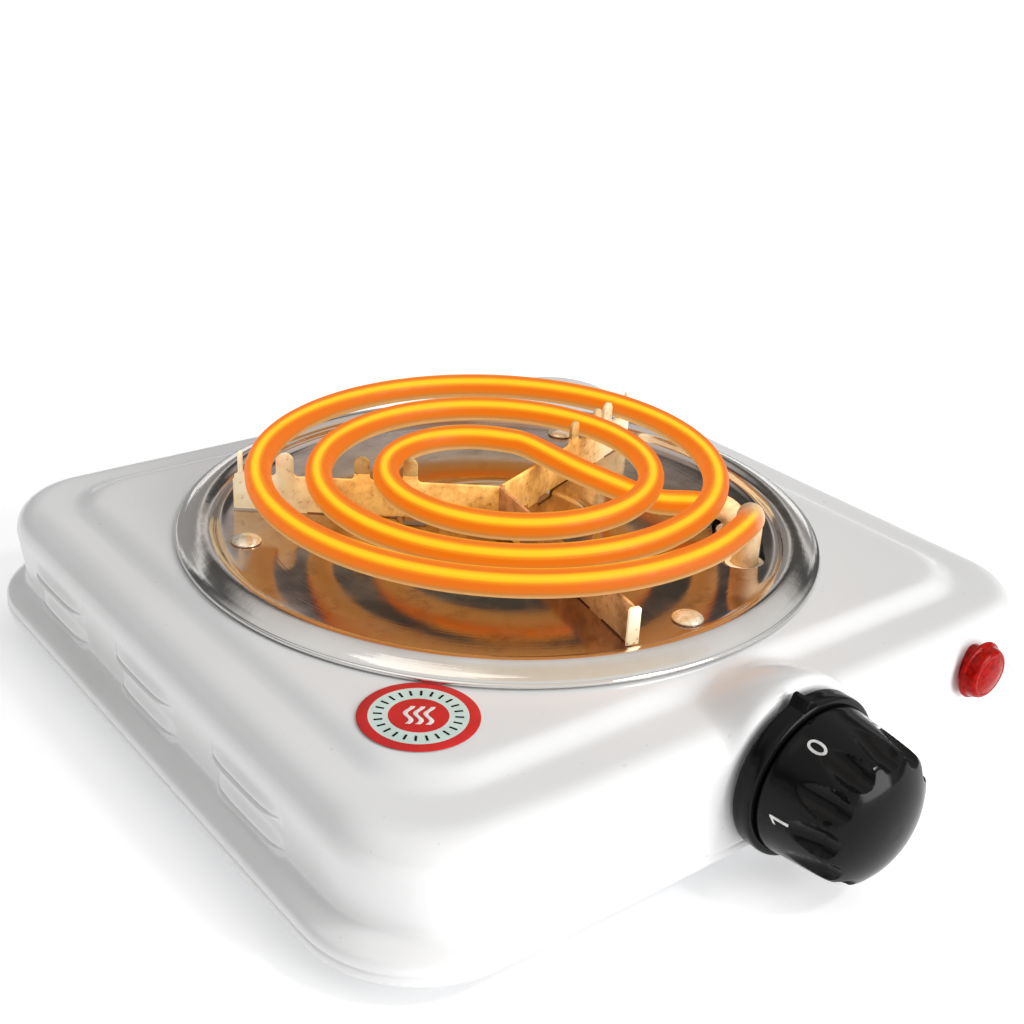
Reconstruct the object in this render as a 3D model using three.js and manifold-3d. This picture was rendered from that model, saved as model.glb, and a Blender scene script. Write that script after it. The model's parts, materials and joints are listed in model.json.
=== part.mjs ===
// Electric hot plate burner: a square enamelled box with one glowing tubular element.
// Millimetres, +Z up. The box stands on four feet at z = 0 and its front faces -Y.
import * as THREE from 'three';
import { mergeVertices } from 'three/addons/utils/BufferGeometryUtils.js';
import Module from 'manifold-3d';

const wasm = await Module();
wasm.setup();

// ---- driving dimensions ----
const BOX_WIDTH = 230;
const BOX_DEPTH = 225;
const CORNER_RADIUS = 30;
const SHELL_BOTTOM = 7;
const SHOULDER_Z = 31.5;
const SHOULDER_RADIUS = 8;
const PLATEAU_Z = 42;
const WALL = 1.2;
const GAP = 0.3;
const KNOB_FRONT = 30.5; // how far the knob stands out from the front face

const PAN_X = 1;
const PAN_Y = 4.4;
const PAN_LIP_RADIUS = 91;
const PAN_FLOOR_RADIUS = 79;
const PAN_SHEET = 0.8;
const PAN_HOLE_RADIUS = 82;

const COIL_X = 2;
const COIL_Y = 8.6;
const COIL_Z = 57;
const TUBE_RADIUS = 3.7;
const COIL_FLAT = 0.35; // ground off the top of the tube, where the cookware rests
const COIL_START = -60; // degrees, where the outer turn leaves its leg
const COIL_RADII = [74.5, 68.3, 66.5, 67, 61.5, 54.2, 48.2, 46, 43.6, 35.6, 28.6, 20.5]; // every quarter turn
const LEG_FOOT_Z = 30;
const OUTER_LEG = [46.5, -49.5];
const INNER_LEG = [59, -33.5];

const SLOT_RADIUS = 68.3;
const SLOT_ANGLE = -41.9;
const SLOT_LENGTH = 36;
const SLOT_WIDTH = 14;

const ARM_ANGLES = { left: 142, rear: 20, front: -101.5 };
const ARM_END = 76;
const ARM_TOP = 53;
const TAB_TOP = 60.2;
const ARM_SHEET = 1;
const RIVET_RADIUS = 72;
const RIVET_TURN = 16.5; // degrees past each arm

const KNOB_X = 1;
const KNOB_Z = 25.5;
const KNOB_BASE_RADIUS = 19.2;
const KNOB_TIP_RADIUS = 17.2;
const BEZEL_RADIUS = 21;
const BEZEL_DEPTH = 5.5;
const FRONT_Y = -BOX_DEPTH / 2;
const BEZEL_BACK = FRONT_Y - GAP;
const KNOB_BACK = BEZEL_BACK - BEZEL_DEPTH - GAP;
const KNOB_TIP = FRONT_Y - KNOB_FRONT;
const CAM_Y = -94;
const CAM_LOW = 4.5;
const CAM_RISE = 2; // over the knob's whole turn
const KNOB_TURN = 300; // degrees

const LAMP_X = 70;
const LAMP_Z = 29.7;
const LAMP_RADIUS = 8;
const GLAND_X = 62;
const GLAND_Z = 24.2;
const FOOT_X = 86;
const FOOT_Y = 83;
const LABEL_X = -75.6;
const LABEL_Y = -67.3;
const LABEL_RADIUS = 14;

const rad = THREE.MathUtils.degToRad;

// ---- materials ----
const paint = (color, roughness, metalness, extra = {}) =>
  new THREE.MeshStandardMaterial({ color, roughness, metalness, ...extra });
const enamel = () => paint('#f4f3f0', 0.18, 0);
const chrome = () => paint('#c9c6c2', 0.16, 1);
const steel = () => paint('#a9a7a3', 0.4, 1);
const zinc = () => paint('#b9babc', 0.45, 1);
const brass = () => paint('#c2a15a', 0.35, 1);
const bakelite = () => paint('#121212', 0.22, 0);
const ceramic = () => paint('#ece4d3', 0.6, 0);
const rubber = () => paint('#1a1a1a', 0.85, 0);
const wireInsulation = (color) => paint(color, 0.6, 0);

// ---- solids ----
const solid = (geometry) => {
  const bare = geometry.clone();
  bare.deleteAttribute('normal');
  bare.deleteAttribute('uv');
  const merged = mergeVertices(bare, 1e-4);
  const kept = [];
  const index = merged.index.array;
  for (let i = 0; i < index.length; i += 3) {
    const [a, b, c] = [index[i], index[i + 1], index[i + 2]];
    if (a !== b && b !== c && c !== a) kept.push(a, b, c);
  }
  const vertProperties = new Float32Array(merged.attributes.position.array);
  return new wasm.Manifold(new wasm.Mesh({ numProp: 3, vertProperties, triVerts: new Uint32Array(kept) }));
};

const meshOf = (name, body, material) => {
  const raw = body.getMesh();
  const geometry = new THREE.BufferGeometry();
  geometry.setAttribute('position', new THREE.BufferAttribute(raw.vertProperties, 3));
  geometry.setIndex(new THREE.BufferAttribute(raw.triVerts, 1));
  geometry.computeVertexNormals();
  const mesh = new THREE.Mesh(geometry, material);
  mesh.name = name;
  return mesh;
};

const box = (sx, sy, sz, x, y, z) => solid(new THREE.BoxGeometry(sx, sy, sz).translate(x, y, z));

const upright = (radius, low, high, x, y, sides = 20, topRadius = radius) => {
  const shape = new THREE.CylinderGeometry(topRadius, radius, high - low, sides);
  return solid(shape.rotateX(Math.PI / 2).translate(x, y, (low + high) / 2));
};

const alongY = (radius, front, back, x, z, sides = 20, backRadius = radius) => {
  const shape = new THREE.CylinderGeometry(backRadius, radius, back - front, sides);
  return solid(shape.translate(x, (front + back) / 2, z));
};

// a profile of [radius, height] points that closes on itself, turned about the Z axis
const turned = (points, sides = 48) => {
  const profile = points.map(([r, h]) => new THREE.Vector2(r, h));
  if (THREE.ShapeUtils.isClockWise(profile)) profile.reverse();
  profile.push(profile[0].clone());
  return solid(new THREE.LatheGeometry(profile, sides).rotateX(Math.PI / 2));
};

// the same, lying along Y: heights run towards -Y from the given plane
const turnedForward = (points, x, y, z, sides = 48) =>
  turned(points, sides).rotate([90, 0, 0]).translate([x, y, z]);

const all = (bodies) => bodies.reduce((sum, body) => sum.add(body));

const footPlaces = () => {
  const places = [];
  for (const [end, sy] of [['front', -1], ['back', 1]]) {
    for (const [side, sx] of [['left', -1], ['right', 1]]) {
      places.push({ name: `${end}_${side}`, x: sx * FOOT_X, y: sy * FOOT_Y });
    }
  }
  return places;
};

// ---- rounded-square sections, stacked ----
// The side band is pressed in on the sides and back; it fades away just past the front corners.
const sectionPoints = (halfX, halfY, radius) => {
  const points = [];
  const corners = [[1, -1, -90], [1, 1, 0], [-1, 1, 90], [-1, -1, 180]];
  const steps = 5;
  for (const [sx, sy, start] of corners) {
    for (let i = 0; i <= steps; i += 1) {
      const angle = rad(start + (90 * i) / steps);
      const fromFront = sy > 0 ? 1 : Math.abs(Math.cos(angle));
      const band = sy > 0 ? 1 : Math.min(1, 0.3 + 0.9 * fromFront);
      const x = sx * (halfX - radius) + radius * Math.cos(angle);
      const y = sy * (halfY - radius) + radius * Math.sin(angle);
      points.push({ x, y, nx: Math.cos(angle), ny: Math.sin(angle), band });
    }
  }
  const fade = halfX - radius - 26;
  points.push({ x: -fade, y: -halfY, nx: 0, ny: -1, band: 0 });
  points.push({ x: fade, y: -halfY, nx: 0, ny: -1, band: 0 });
  return points;
};

// level: [z, inset at the front, inset at the sides, corner radius]
const stack = (levels) => {
  const rings = levels.map(([z, front, side, corner]) => {
    const radius = corner ?? Math.max(CORNER_RADIUS - front, 4);
    const outline = sectionPoints(BOX_WIDTH / 2 - front, BOX_DEPTH / 2 - front, radius);
    return outline.map(({ x, y, nx, ny, band }) => {
      const extra = (side - front) * band;
      return new THREE.Vector3(x - nx * extra, y - ny * extra, z);
    });
  });
  const count = rings[0].length;
  const points = rings.flat();
  const index = [];
  for (let level = 0; level + 1 < rings.length; level += 1) {
    for (let i = 0; i < count; i += 1) {
      const a = level * count + i;
      const b = level * count + ((i + 1) % count);
      index.push(a, b, b + count, a, b + count, a + count);
    }
  }
  const low = points.push(new THREE.Vector3(0, 0, levels[0][0])) - 1;
  const high = points.push(new THREE.Vector3(0, 0, levels.at(-1)[0])) - 1;
  const top = (rings.length - 1) * count;
  for (let i = 0; i < count; i += 1) {
    const next = (i + 1) % count;
    index.push(low, next, i, high, top + i, top + next);
  }
  const geometry = new THREE.BufferGeometry().setFromPoints(points);
  geometry.setIndex(index);
  return solid(geometry);
};

const shoulder = (offset) => {
  const levels = [];
  const steps = 3;
  for (let i = 0; i <= steps; i += 1) {
    const angle = (Math.PI / 2) * (i / steps);
    const radius = SHOULDER_RADIUS - offset;
    const inset = SHOULDER_RADIUS - radius * Math.cos(angle);
    levels.push([SHOULDER_Z + radius * Math.sin(angle), 1.2 + inset, 4.9 + inset]);
  }
  return levels;
};

const outerLevels = () => [
  [SHELL_BOTTOM, 0.6, 0.6],
  [SHELL_BOTTOM + 1.2, 0, 0],
  [11.5, 0, 0],
  [13.2, 0.2, 1.6],
  [15, 0.3, 5.6],
  [17, 0.4, 6.6],
  [24, 0.8, 5.8],
  ...shoulder(0),
  [39.6, 19.4, 19.4, 20],
  [40.4, 21.4, 21.4, 19],
  [41.5, 23.8, 23.8, 17],
  [PLATEAU_Z, 25.5, 25.5, 16],
];

const innerLevels = () => [
  [SHELL_BOTTOM - 1, 1.7, 1.7],
  [10.9, 1.4, 1.4],
  [12.2, 1.6, 2.2],
  [13.9, 1.7, 6.3],
  [16.6, 1.7, 7.9],
  [24, 2.1, 7.1],
  ...shoulder(WALL),
  [38.4, 19.9, 19.9, 19.6],
  [39.2, 21.9, 21.9, 18.6],
  [40.3, 24.3, 24.3, 16.6],
  [PLATEAU_Z - WALL, 26, 26, 15.6],
];

// ---- housing ----
const louvreCentres = [-49, 4, 57.5];
const louvreRows = [18, 28.5];

const louvrePrism = (sideSign, y, z, length, outline) => {
  const shape = new THREE.Shape(outline.map(([dx, dz]) => new THREE.Vector2(dx, dz)));
  const geometry = new THREE.ExtrudeGeometry(shape, { depth: length, bevelEnabled: false });
  geometry.translate(0, 0, -length / 2).rotateX(Math.PI / 2);
  const inset = THREE.MathUtils.mapLinear(z, 17, SHOULDER_Z, 6.6, 4.9);
  const body = solid(geometry);
  const turn = sideSign > 0 ? body : body.rotate([0, 0, 180]);
  return turn.translate([sideSign * (BOX_WIDTH / 2 - inset), y, z]);
};

const hoodOutline = [[-0.8, 3.6], [0.2, 3.2], [2.4, 0], [2.4, -1.6], [-0.8, -1.6]];
const throatOutline = [[-4, 0.6], [0.5, 1.4], [1.4, -0.2], [1.4, -3], [-4, -1.2]];

const knobHood = (radius, front, back, sink) => {
  const body = alongY(radius, front, back, KNOB_X, KNOB_Z, 28);
  return body.intersect(stack(hoodLevels(sink)));
};

// the hood above the knob falls from the front face back to the plateau
const hoodLevels = (sink) => [
  [20, 0.7 + sink, 0.7 + sink],
  [KNOB_Z + BEZEL_RADIUS, 1.3 + sink, 1.3 + sink],
  [KNOB_Z + BEZEL_RADIUS + 2, 6 + sink, 6 + sink],
];

const slantedHood = (radius, front, back, drop) => {
  const low = KNOB_Z + radius;
  const wedge = new THREE.Shape();
  wedge.moveTo(front - 5, 12);
  wedge.lineTo(back, 12);
  wedge.lineTo(back, low - drop);
  wedge.quadraticCurveTo(front + 7, low, front - 5, low);
  const geometry = new THREE.ExtrudeGeometry(wedge, { depth: 80, bevelEnabled: false, curveSegments: 6 });
  geometry.translate(0, 0, -40).rotateX(Math.PI / 2).rotateZ(Math.PI / 2);
  return geometry.translate(KNOB_X, 0, 0);
};

const upperHousing = () => {
  const hoodBack = FRONT_Y + 23;
  const hoodRadius = BEZEL_RADIUS + 2;
  const hoodOuter = knobHood(hoodRadius, FRONT_Y - 1, hoodBack, 0)
    .intersect(solid(slantedHood(hoodRadius, FRONT_Y, hoodBack, 8)));
  const hoodInner = knobHood(hoodRadius - WALL, FRONT_Y - 1, hoodBack - WALL, WALL)
    .intersect(solid(slantedHood(hoodRadius - WALL, FRONT_Y, hoodBack, 8)));
  let shell = stack(outerLevels()).add(hoodOuter);
  const hoods = [];
  const throats = [];
  for (const side of [-1, 1]) {
    for (const y of louvreCentres) {
      for (const z of louvreRows) {
        hoods.push(louvrePrism(side, y, z, 32, hoodOutline));
        throats.push(louvrePrism(side, y, z, 29.6, throatOutline));
      }
    }
  }
  const inside = stack(innerLevels()).add(hoodInner);
  shell = shell.add(all(hoods)).subtract(inside).subtract(all(throats));
  const posts = footPlaces().map(({ x, y }) => upright(4.4, 9.2, PLATEAU_Z - 3, x, y, 14));
  const pilots = footPlaces().map(({ x, y }) => upright(2.2, 8, 26, x, y, 12));
  shell = shell.add(all(posts)).subtract(all(pilots));
  const cuts = [
    upright(PAN_HOLE_RADIUS, 36, 50, PAN_X, PAN_Y, 44),
    alongY(4.5, FRONT_Y - 5, FRONT_Y + 8, KNOB_X, KNOB_Z, 20),
    alongY(2.2, FRONT_Y - 5, FRONT_Y + 8, KNOB_X - 14, KNOB_Z, 12),
    alongY(2.2, FRONT_Y - 5, FRONT_Y + 8, KNOB_X + 14, KNOB_Z, 12),
    alongY(6.3, FRONT_Y - 5, FRONT_Y + 8, LAMP_X, LAMP_Z, 24),
    alongY(6.3, -FRONT_Y - 12, -FRONT_Y + 5, GLAND_X, GLAND_Z, 24),
  ];
  return meshOf('upper_housing', shell.subtract(all(cuts)), enamel());
};

const basePlate = () => {
  const low = SHELL_BOTTOM + 0.8;
  let plate = stack([[low, 2.1, 2.1], [low + 1, 2.1, 2.1]]);
  const cuts = footPlaces().map(({ x, y }) => upright(2.3, low - 3, low + 3, x, y, 12));
  for (const row of [-2, -1, 0, 1, 2]) {
    cuts.push(box(70, 6, 6, 0, PAN_Y + row * 18, low));
  }
  return meshOf('base_plate', plate.subtract(all(cuts)), zinc());
};

// ---- drip pan ----
const onPan = (radius, angle) => [
  PAN_X + radius * Math.cos(rad(angle)),
  PAN_Y + radius * Math.sin(rad(angle)),
];

const dripPan = () => {
  const top = [
    [30, PLATEAU_Z - 0.1],
    [PAN_FLOOR_RADIUS - 4, PLATEAU_Z],
    [PAN_FLOOR_RADIUS + 0.6, PLATEAU_Z + 0.4],
    [PAN_FLOOR_RADIUS + 1.8, PLATEAU_Z + 3.2],
    [PAN_FLOOR_RADIUS + 4, PLATEAU_Z + 4.6],
    [PAN_FLOOR_RADIUS + 6.5, PLATEAU_Z + 4.2],
    [PAN_LIP_RADIUS - 2, PLATEAU_Z + 1.9],
    [PAN_LIP_RADIUS, PLATEAU_Z + 1],
    [PAN_LIP_RADIUS, PLATEAU_Z + GAP],
    [PAN_LIP_RADIUS - 2.6, PLATEAU_Z + 1.1],
    [PAN_FLOOR_RADIUS + 6.3, PLATEAU_Z + 3.4],
    [PAN_FLOOR_RADIUS + 4, PLATEAU_Z + 3.8],
    [PAN_FLOOR_RADIUS + 2.5, PLATEAU_Z + 2.8],
    [PAN_FLOOR_RADIUS + 1.3, PLATEAU_Z - 0.4],
    [PAN_FLOOR_RADIUS - 4, PLATEAU_Z - PAN_SHEET],
    [30, PLATEAU_Z - PAN_SHEET - 0.1],
    [28, PLATEAU_Z - PAN_SHEET - 1.1],
    [0, PLATEAU_Z - PAN_SHEET - 1.1],
    [0, PLATEAU_Z - 1.1],
    [28, PLATEAU_Z - 1.1],
  ];
  const bowl = turned(top, 44).translate([PAN_X, PAN_Y, 0]);
  const cuts = [legSlot(SLOT_WIDTH, 30, 50)];
  for (const angle of Object.values(ARM_ANGLES)) {
    const [x, y] = onPan(RIVET_RADIUS, angle + RIVET_TURN);
    cuts.push(upright(1.9, 30, 50, x, y, 12));
    for (const radius of [18, 58]) {
      const [lx, ly] = onPan(radius, angle);
      const slit = solid(new THREE.BoxGeometry(7, 1.8, 8)).rotate([0, 0, angle]);
      cuts.push(slit.translate([lx, ly, PLATEAU_Z]));
    }
  }
  return meshOf('drip_pan', bowl.subtract(all(cuts)), chrome());
};

// round-ended slot, across the radius, that lets both legs of the element through
const legSlot = (width, low, high) => {
  const half = (SLOT_LENGTH - width) / 2;
  const shape = new THREE.Shape();
  shape.absarc(half, 0, width / 2, -Math.PI / 2, Math.PI / 2);
  shape.absarc(-half, 0, width / 2, Math.PI / 2, Math.PI * 1.5);
  const geometry = new THREE.ExtrudeGeometry(shape, { depth: high - low, bevelEnabled: false, curveSegments: 10 });
  const [x, y] = onPan(SLOT_RADIUS, SLOT_ANGLE);
  return solid(geometry).rotate([0, 0, SLOT_ANGLE + 90]).translate([x, y, low]);
};

// ---- heating element ----
const quarterRadii = new THREE.SplineCurve(COIL_RADII.map((r, i) => new THREE.Vector2(i, r)));

const coilPoint = (turns) => {
  const last = COIL_RADII.length - 1;
  const { y: radius } = quarterRadii.getPoint(Math.min(1, (turns * 4) / last));
  const angle = rad(COIL_START - turns * 360);
  return new THREE.Vector3(COIL_X + radius * Math.cos(angle), COIL_Y + radius * Math.sin(angle), COIL_Z);
};

const coilTurns = (COIL_RADII.length - 1) / 4;

const coilRoute = () => {
  const points = [];
  const [ox, oy] = OUTER_LEG;
  points.push(new THREE.Vector3(ox, oy, LEG_FOOT_Z));
  points.push(new THREE.Vector3(ox, oy, LEG_FOOT_Z + 11));
  points.push(new THREE.Vector3(ox, oy, COIL_Z - 7));
  points.push(new THREE.Vector3(ox - 1.8, oy - 1.4, COIL_Z - 1.9));
  const samples = 60;
  for (let i = 0; i <= samples; i += 1) points.push(coilPoint((coilTurns * i) / samples));
  const [ix, iy] = INNER_LEG;
  points.push(new THREE.Vector3(22, -2.5, COIL_Z - 0.6));
  points.push(new THREE.Vector3(30, -11.5, COIL_Z - 4.5));
  points.push(new THREE.Vector3(39.5, -19, COIL_Z - 8.6));
  points.push(new THREE.Vector3(49.5, -26.5, COIL_Z - 9));
  points.push(new THREE.Vector3(56.2, -31.5, COIL_Z - 10.4));
  points.push(new THREE.Vector3(ix, iy, COIL_Z - 15));
  points.push(new THREE.Vector3(ix, iy, LEG_FOOT_Z + 6));
  points.push(new THREE.Vector3(ix, iy, LEG_FOOT_Z));
  return new THREE.CatmullRomCurve3(points, false, 'centripetal');
};

const tubeAlong = (curve, radius, sides, steps) => {
  const section = new THREE.Shape();
  for (let i = 0; i < sides; i += 1) {
    const angle = (2 * Math.PI * (i + 0.5)) / sides;
    const [x, y] = [radius * Math.cos(angle), radius * Math.sin(angle)];
    if (i === 0) section.moveTo(x, y);
    else section.lineTo(x, y);
  }
  section.closePath();
  return solid(new THREE.ExtrudeGeometry(section, { steps, extrudePath: curve, curveSegments: 1 }));
};

const heatingCoil = () => {
  const tube = tubeAlong(coilRoute(), TUBE_RADIUS, 8, 136);
  const above = COIL_Z + TUBE_RADIUS - COIL_FLAT;
  const flat = tube.subtract(box(200, 200, 6, 0, 0, above + 3));
  return meshOf('heating_coil', flat, paint('#e8701c', 0.5, 0.2, { emissive: '#ff7a12' }));
};

// where the element crosses the line of one support arm, as radii from the hub
const crossings = (angle) => {
  const found = [];
  const along = new THREE.Vector2(Math.cos(rad(angle)), Math.sin(rad(angle)));
  const steps = 600;
  let before = null;
  for (let i = 0; i <= steps; i += 1) {
    const point = coilPoint((coilTurns * i) / steps);
    const from = new THREE.Vector2(point.x - PAN_X, point.y - PAN_Y);
    const side = along.cross(from);
    const radius = along.dot(from);
    if (before !== null && before * side < 0 && radius > 5) found.push(radius);
    before = side;
  }
  return found;
};

// one arm of the tripod: an upright strip with two pairs of fingers that hold the turns
const supportArm = (angle, start) => {
  const turns = crossings(angle);
  const [outer, inner] = [turns[0], turns.at(-1)];
  const reach = TUBE_RADIUS + 0.7;
  const floor = PLATEAU_Z + GAP;
  const shape = new THREE.Shape();
  const lug = (at) => {
    shape.lineTo(at - 3, floor);
    shape.lineTo(at - 2.6, floor - 2.4);
    shape.lineTo(at + 2.6, floor - 2.4);
    shape.lineTo(at + 3, floor);
  };
  shape.moveTo(start, floor);
  lug(18);
  lug(58);
  shape.lineTo(ARM_END, floor + 0.5);
  shape.lineTo(ARM_END, ARM_TOP - 1);
  const finger = (from, width) => {
    shape.lineTo(from, ARM_TOP);
    shape.lineTo(from - 0.5, TAB_TOP - 2);
    shape.quadraticCurveTo(from - 0.7, TAB_TOP, from - width / 2, TAB_TOP);
    shape.quadraticCurveTo(from - width + 0.7, TAB_TOP, from - width + 0.5, TAB_TOP - 2);
    shape.lineTo(from - width, ARM_TOP);
  };
  const tip = Math.min(ARM_END - 1.2, outer + reach + 5.2);
  finger(tip, tip - outer - reach);
  finger(outer - reach, 5.6);
  finger(inner + reach + 5, 5);
  finger(inner - reach, 4.8);
  shape.lineTo(start, ARM_TOP);
  shape.closePath();
  const geometry = new THREE.ExtrudeGeometry(shape, { depth: ARM_SHEET, bevelEnabled: false, curveSegments: 4 });
  geometry.translate(0, 0, -ARM_SHEET / 2).rotateX(Math.PI / 2);
  return solid(geometry).rotate([0, 0, angle]).translate([PAN_X, PAN_Y, 0]);
};

const supports = () => {
  const folded = supportArm(ARM_ANGLES.left, 0).add(supportArm(ARM_ANGLES.front, 0));
  return [
    meshOf('support_strip_folded', folded, steel()),
    meshOf('support_arm_rear', supportArm(ARM_ANGLES.rear, 1.6), steel()),
  ];
};

const SHIELD_TOP = 35;
const CLAMP_LOW = LEG_FOOT_Z - 1.8;

// stepped rivets: a domed head on the pan floor and a shoulder that spaces the shield
const panRivets = () => Object.entries(ARM_ANGLES).map(([name, angle]) => {
  const [x, y] = onPan(RIVET_RADIUS, angle + RIVET_TURN);
  const seat = PLATEAU_Z + GAP;
  const dome = [[0, seat], [4.2, seat], [4.2, seat + 0.5], [3.2, seat + 1.3], [0, seat + 1.8]];
  const head = turned(dome, 12).translate([x, y, 0]);
  const shank = upright(1.6, SHIELD_TOP - 3, seat + 0.2, x, y, 10);
  const shoulderPart = upright(3.4, SHIELD_TOP + GAP, PLATEAU_Z - PAN_SHEET - 0.5, x, y, 14);
  const foot = upright(3, SHIELD_TOP - 3, SHIELD_TOP - 1.2 - GAP, x, y, 10);
  return meshOf(`pan_rivet_${name}`, all([head, shank, shoulderPart, foot]), steel());
});

const heatShield = () => {
  const low = SHIELD_TOP - 1;
  const profile = [[0, low], [76, low], [78, low + 1.6], [77, low + 2.4], [75.6, low + 1], [0, low + 1]];
  const disc = turned(profile, 32).translate([PAN_X, PAN_Y, 0]);
  const cuts = [legSlot(SLOT_WIDTH + 6, 20, 50)];
  for (const angle of Object.values(ARM_ANGLES)) {
    const [x, y] = onPan(RIVET_RADIUS, angle + RIVET_TURN);
    cuts.push(upright(2, 20, 50, x, y, 12));
  }
  for (const [x, y] of clampEnds()) cuts.push(upright(1.8, 20, 50, x, y, 12));
  return meshOf('heat_shield', disc.subtract(all(cuts)), zinc());
};

const bead = (name, [x, y], high) => {
  const tube = upright(5.6, LEG_FOOT_Z + 1, high, x, y, 16).subtract(upright(TUBE_RADIUS + GAP, 20, 60, x, y, 16));
  return meshOf(name, tube, ceramic());
};

const elementClamp = () => {
  const [x, y] = onPan(SLOT_RADIUS, SLOT_ANGLE);
  const plate = box(SLOT_LENGTH + 18, 16, 1.2, 0, 0, CLAMP_LOW + 0.6).rotate([0, 0, SLOT_ANGLE + 90]).translate([x, y, 0]);
  const cuts = [OUTER_LEG, INNER_LEG].map(([lx, ly]) => upright(TUBE_RADIUS + GAP, 20, 40, lx, ly, 16));
  const ends = clampEnds().map(([ex, ey]) => upright(1.8, 20, 40, ex, ey, 12));
  return meshOf('element_clamp', plate.subtract(all([...cuts, ...ends])), zinc());
};

const clampEnds = () => {
  const [x, y] = onPan(SLOT_RADIUS, SLOT_ANGLE);
  const along = rad(SLOT_ANGLE + 90);
  const reach = SLOT_LENGTH / 2 + 5;
  return [-1, 1].map((side) => [x + side * reach * Math.cos(along), y + side * reach * Math.sin(along)]);
};

const clampScrews = () => clampEnds().map(([x, y], i) => {
  const thread = upright(1.4, CLAMP_LOW - 1, SHIELD_TOP + 1.5, x, y, 10);
  const head = upright(3, CLAMP_LOW - 2.2, CLAMP_LOW - GAP, x, y, 12);
  return meshOf(`clamp_screw_${['outer', 'inner'][i]}`, thread.add(head), zinc());
});

const terminalPins = () => [OUTER_LEG, INNER_LEG].map(([x, y], i) => {
  const pin = upright(1.3, 19, LEG_FOOT_Z - GAP, x, y, 10);
  return meshOf(`terminal_pin_${['outer', 'inner'][i]}`, pin.add(box(6, 0.8, 8, x, y, 20)), steel());
});

// ---- knob, spindle and switch ----
const knobBezel = () => {
  const cup = [
    [4.6, 0], [BEZEL_RADIUS - 1, 0], [BEZEL_RADIUS, 0.8], [BEZEL_RADIUS, BEZEL_DEPTH - 0.8],
    [BEZEL_RADIUS - 0.8, BEZEL_DEPTH], [4.6, BEZEL_DEPTH],
  ];
  const disc = turnedForward(cup, KNOB_X, BEZEL_BACK, KNOB_Z, 32);
  const mark = new THREE.Shape();
  mark.moveTo(-3, 0);
  mark.lineTo(3, 0);
  mark.lineTo(0, 3.4);
  mark.closePath();
  const geometry = new THREE.ExtrudeGeometry(mark, { depth: BEZEL_DEPTH - 0.4, bevelEnabled: false });
  geometry.rotateX(Math.PI / 2).translate(KNOB_X, BEZEL_BACK, KNOB_Z + BEZEL_RADIUS - 0.9);
  const holes = [-14, 14].map((dx) => alongY(2.2, BEZEL_BACK - 10, BEZEL_BACK + 2, KNOB_X + dx, KNOB_Z, 12)
    .add(alongY(4, BEZEL_BACK - 10, BEZEL_BACK - 2.4, KNOB_X + dx, KNOB_Z, 14)));
  return meshOf('knob_bezel', disc.add(solid(geometry)).subtract(all(holes)), bakelite());
};

const controlKnob = () => {
  const length = KNOB_BACK - KNOB_TIP;
  const crown = length - 6;
  const outside = [
    [0, 0], [KNOB_BASE_RADIUS, 0], [KNOB_TIP_RADIUS + 0.9, crown * 0.55], [KNOB_TIP_RADIUS, crown - 1],
    [KNOB_TIP_RADIUS - 1.6, crown + 0.8], [KNOB_TIP_RADIUS - 5, crown + 3.4],
    [KNOB_TIP_RADIUS - 10, length - 0.7], [0, length],
  ];
  const hollow = [[6, -1], [KNOB_BASE_RADIUS - 2.4, -1], [KNOB_TIP_RADIUS - 3.4, crown - 4], [6, crown - 3]];
  let knob = turnedForward(outside, KNOB_X, KNOB_BACK, KNOB_Z, 36);
  knob = knob.subtract(turnedForward(hollow, KNOB_X, KNOB_BACK, KNOB_Z, 24));
  const flutes = [];
  const count = 12;
  for (let i = 0; i < count; i += 1) {
    const angle = (2 * Math.PI * (i + 0.5)) / count;
    const reach = KNOB_TIP_RADIUS + 2.2;
    const [x, z] = [KNOB_X + reach * Math.sin(angle), KNOB_Z + reach * Math.cos(angle)];
    flutes.push(alongY(3.2, KNOB_TIP - 1, KNOB_TIP + 13, x, z, 8, 2));
  }
  knob = knob.subtract(all(flutes)).subtract(alongY(3.3, KNOB_BACK - 14, KNOB_BACK + 1, KNOB_X, KNOB_Z, 16));
  return meshOf('control_knob', knob, bakelite());
};

const controlSpindle = () => {
  const rod = alongY(3, KNOB_BACK - 13, CAM_Y + 8, KNOB_X, KNOB_Z, 16);
  const shape = new THREE.Shape();
  const steps = 24;
  for (let i = 0; i <= steps; i += 1) {
    const turn = i / steps;
    const radius = CAM_LOW + CAM_RISE * turn;
    const angle = Math.PI / 2 + rad(KNOB_TURN + 12) * turn - rad(6);
    const [x, z] = [radius * Math.cos(angle), radius * Math.sin(angle)];
    if (i === 0) shape.moveTo(x, z);
    else shape.lineTo(x, z);
  }
  shape.closePath();
  const geometry = new THREE.ExtrudeGeometry(shape, { depth: 4, bevelEnabled: false });
  geometry.rotateX(Math.PI / 2).translate(KNOB_X, CAM_Y + 2, KNOB_Z);
  const body = rod.add(solid(geometry)).add(alongY(5, -106, -104, KNOB_X, KNOB_Z, 18));
  return meshOf('control_spindle', body, brass());
};

const SWITCH_FRONT = -108.6;
const PIVOT_X = KNOB_X - 30;
const BLADE_Z = KNOB_Z + CAM_LOW + 0.5;

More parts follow.
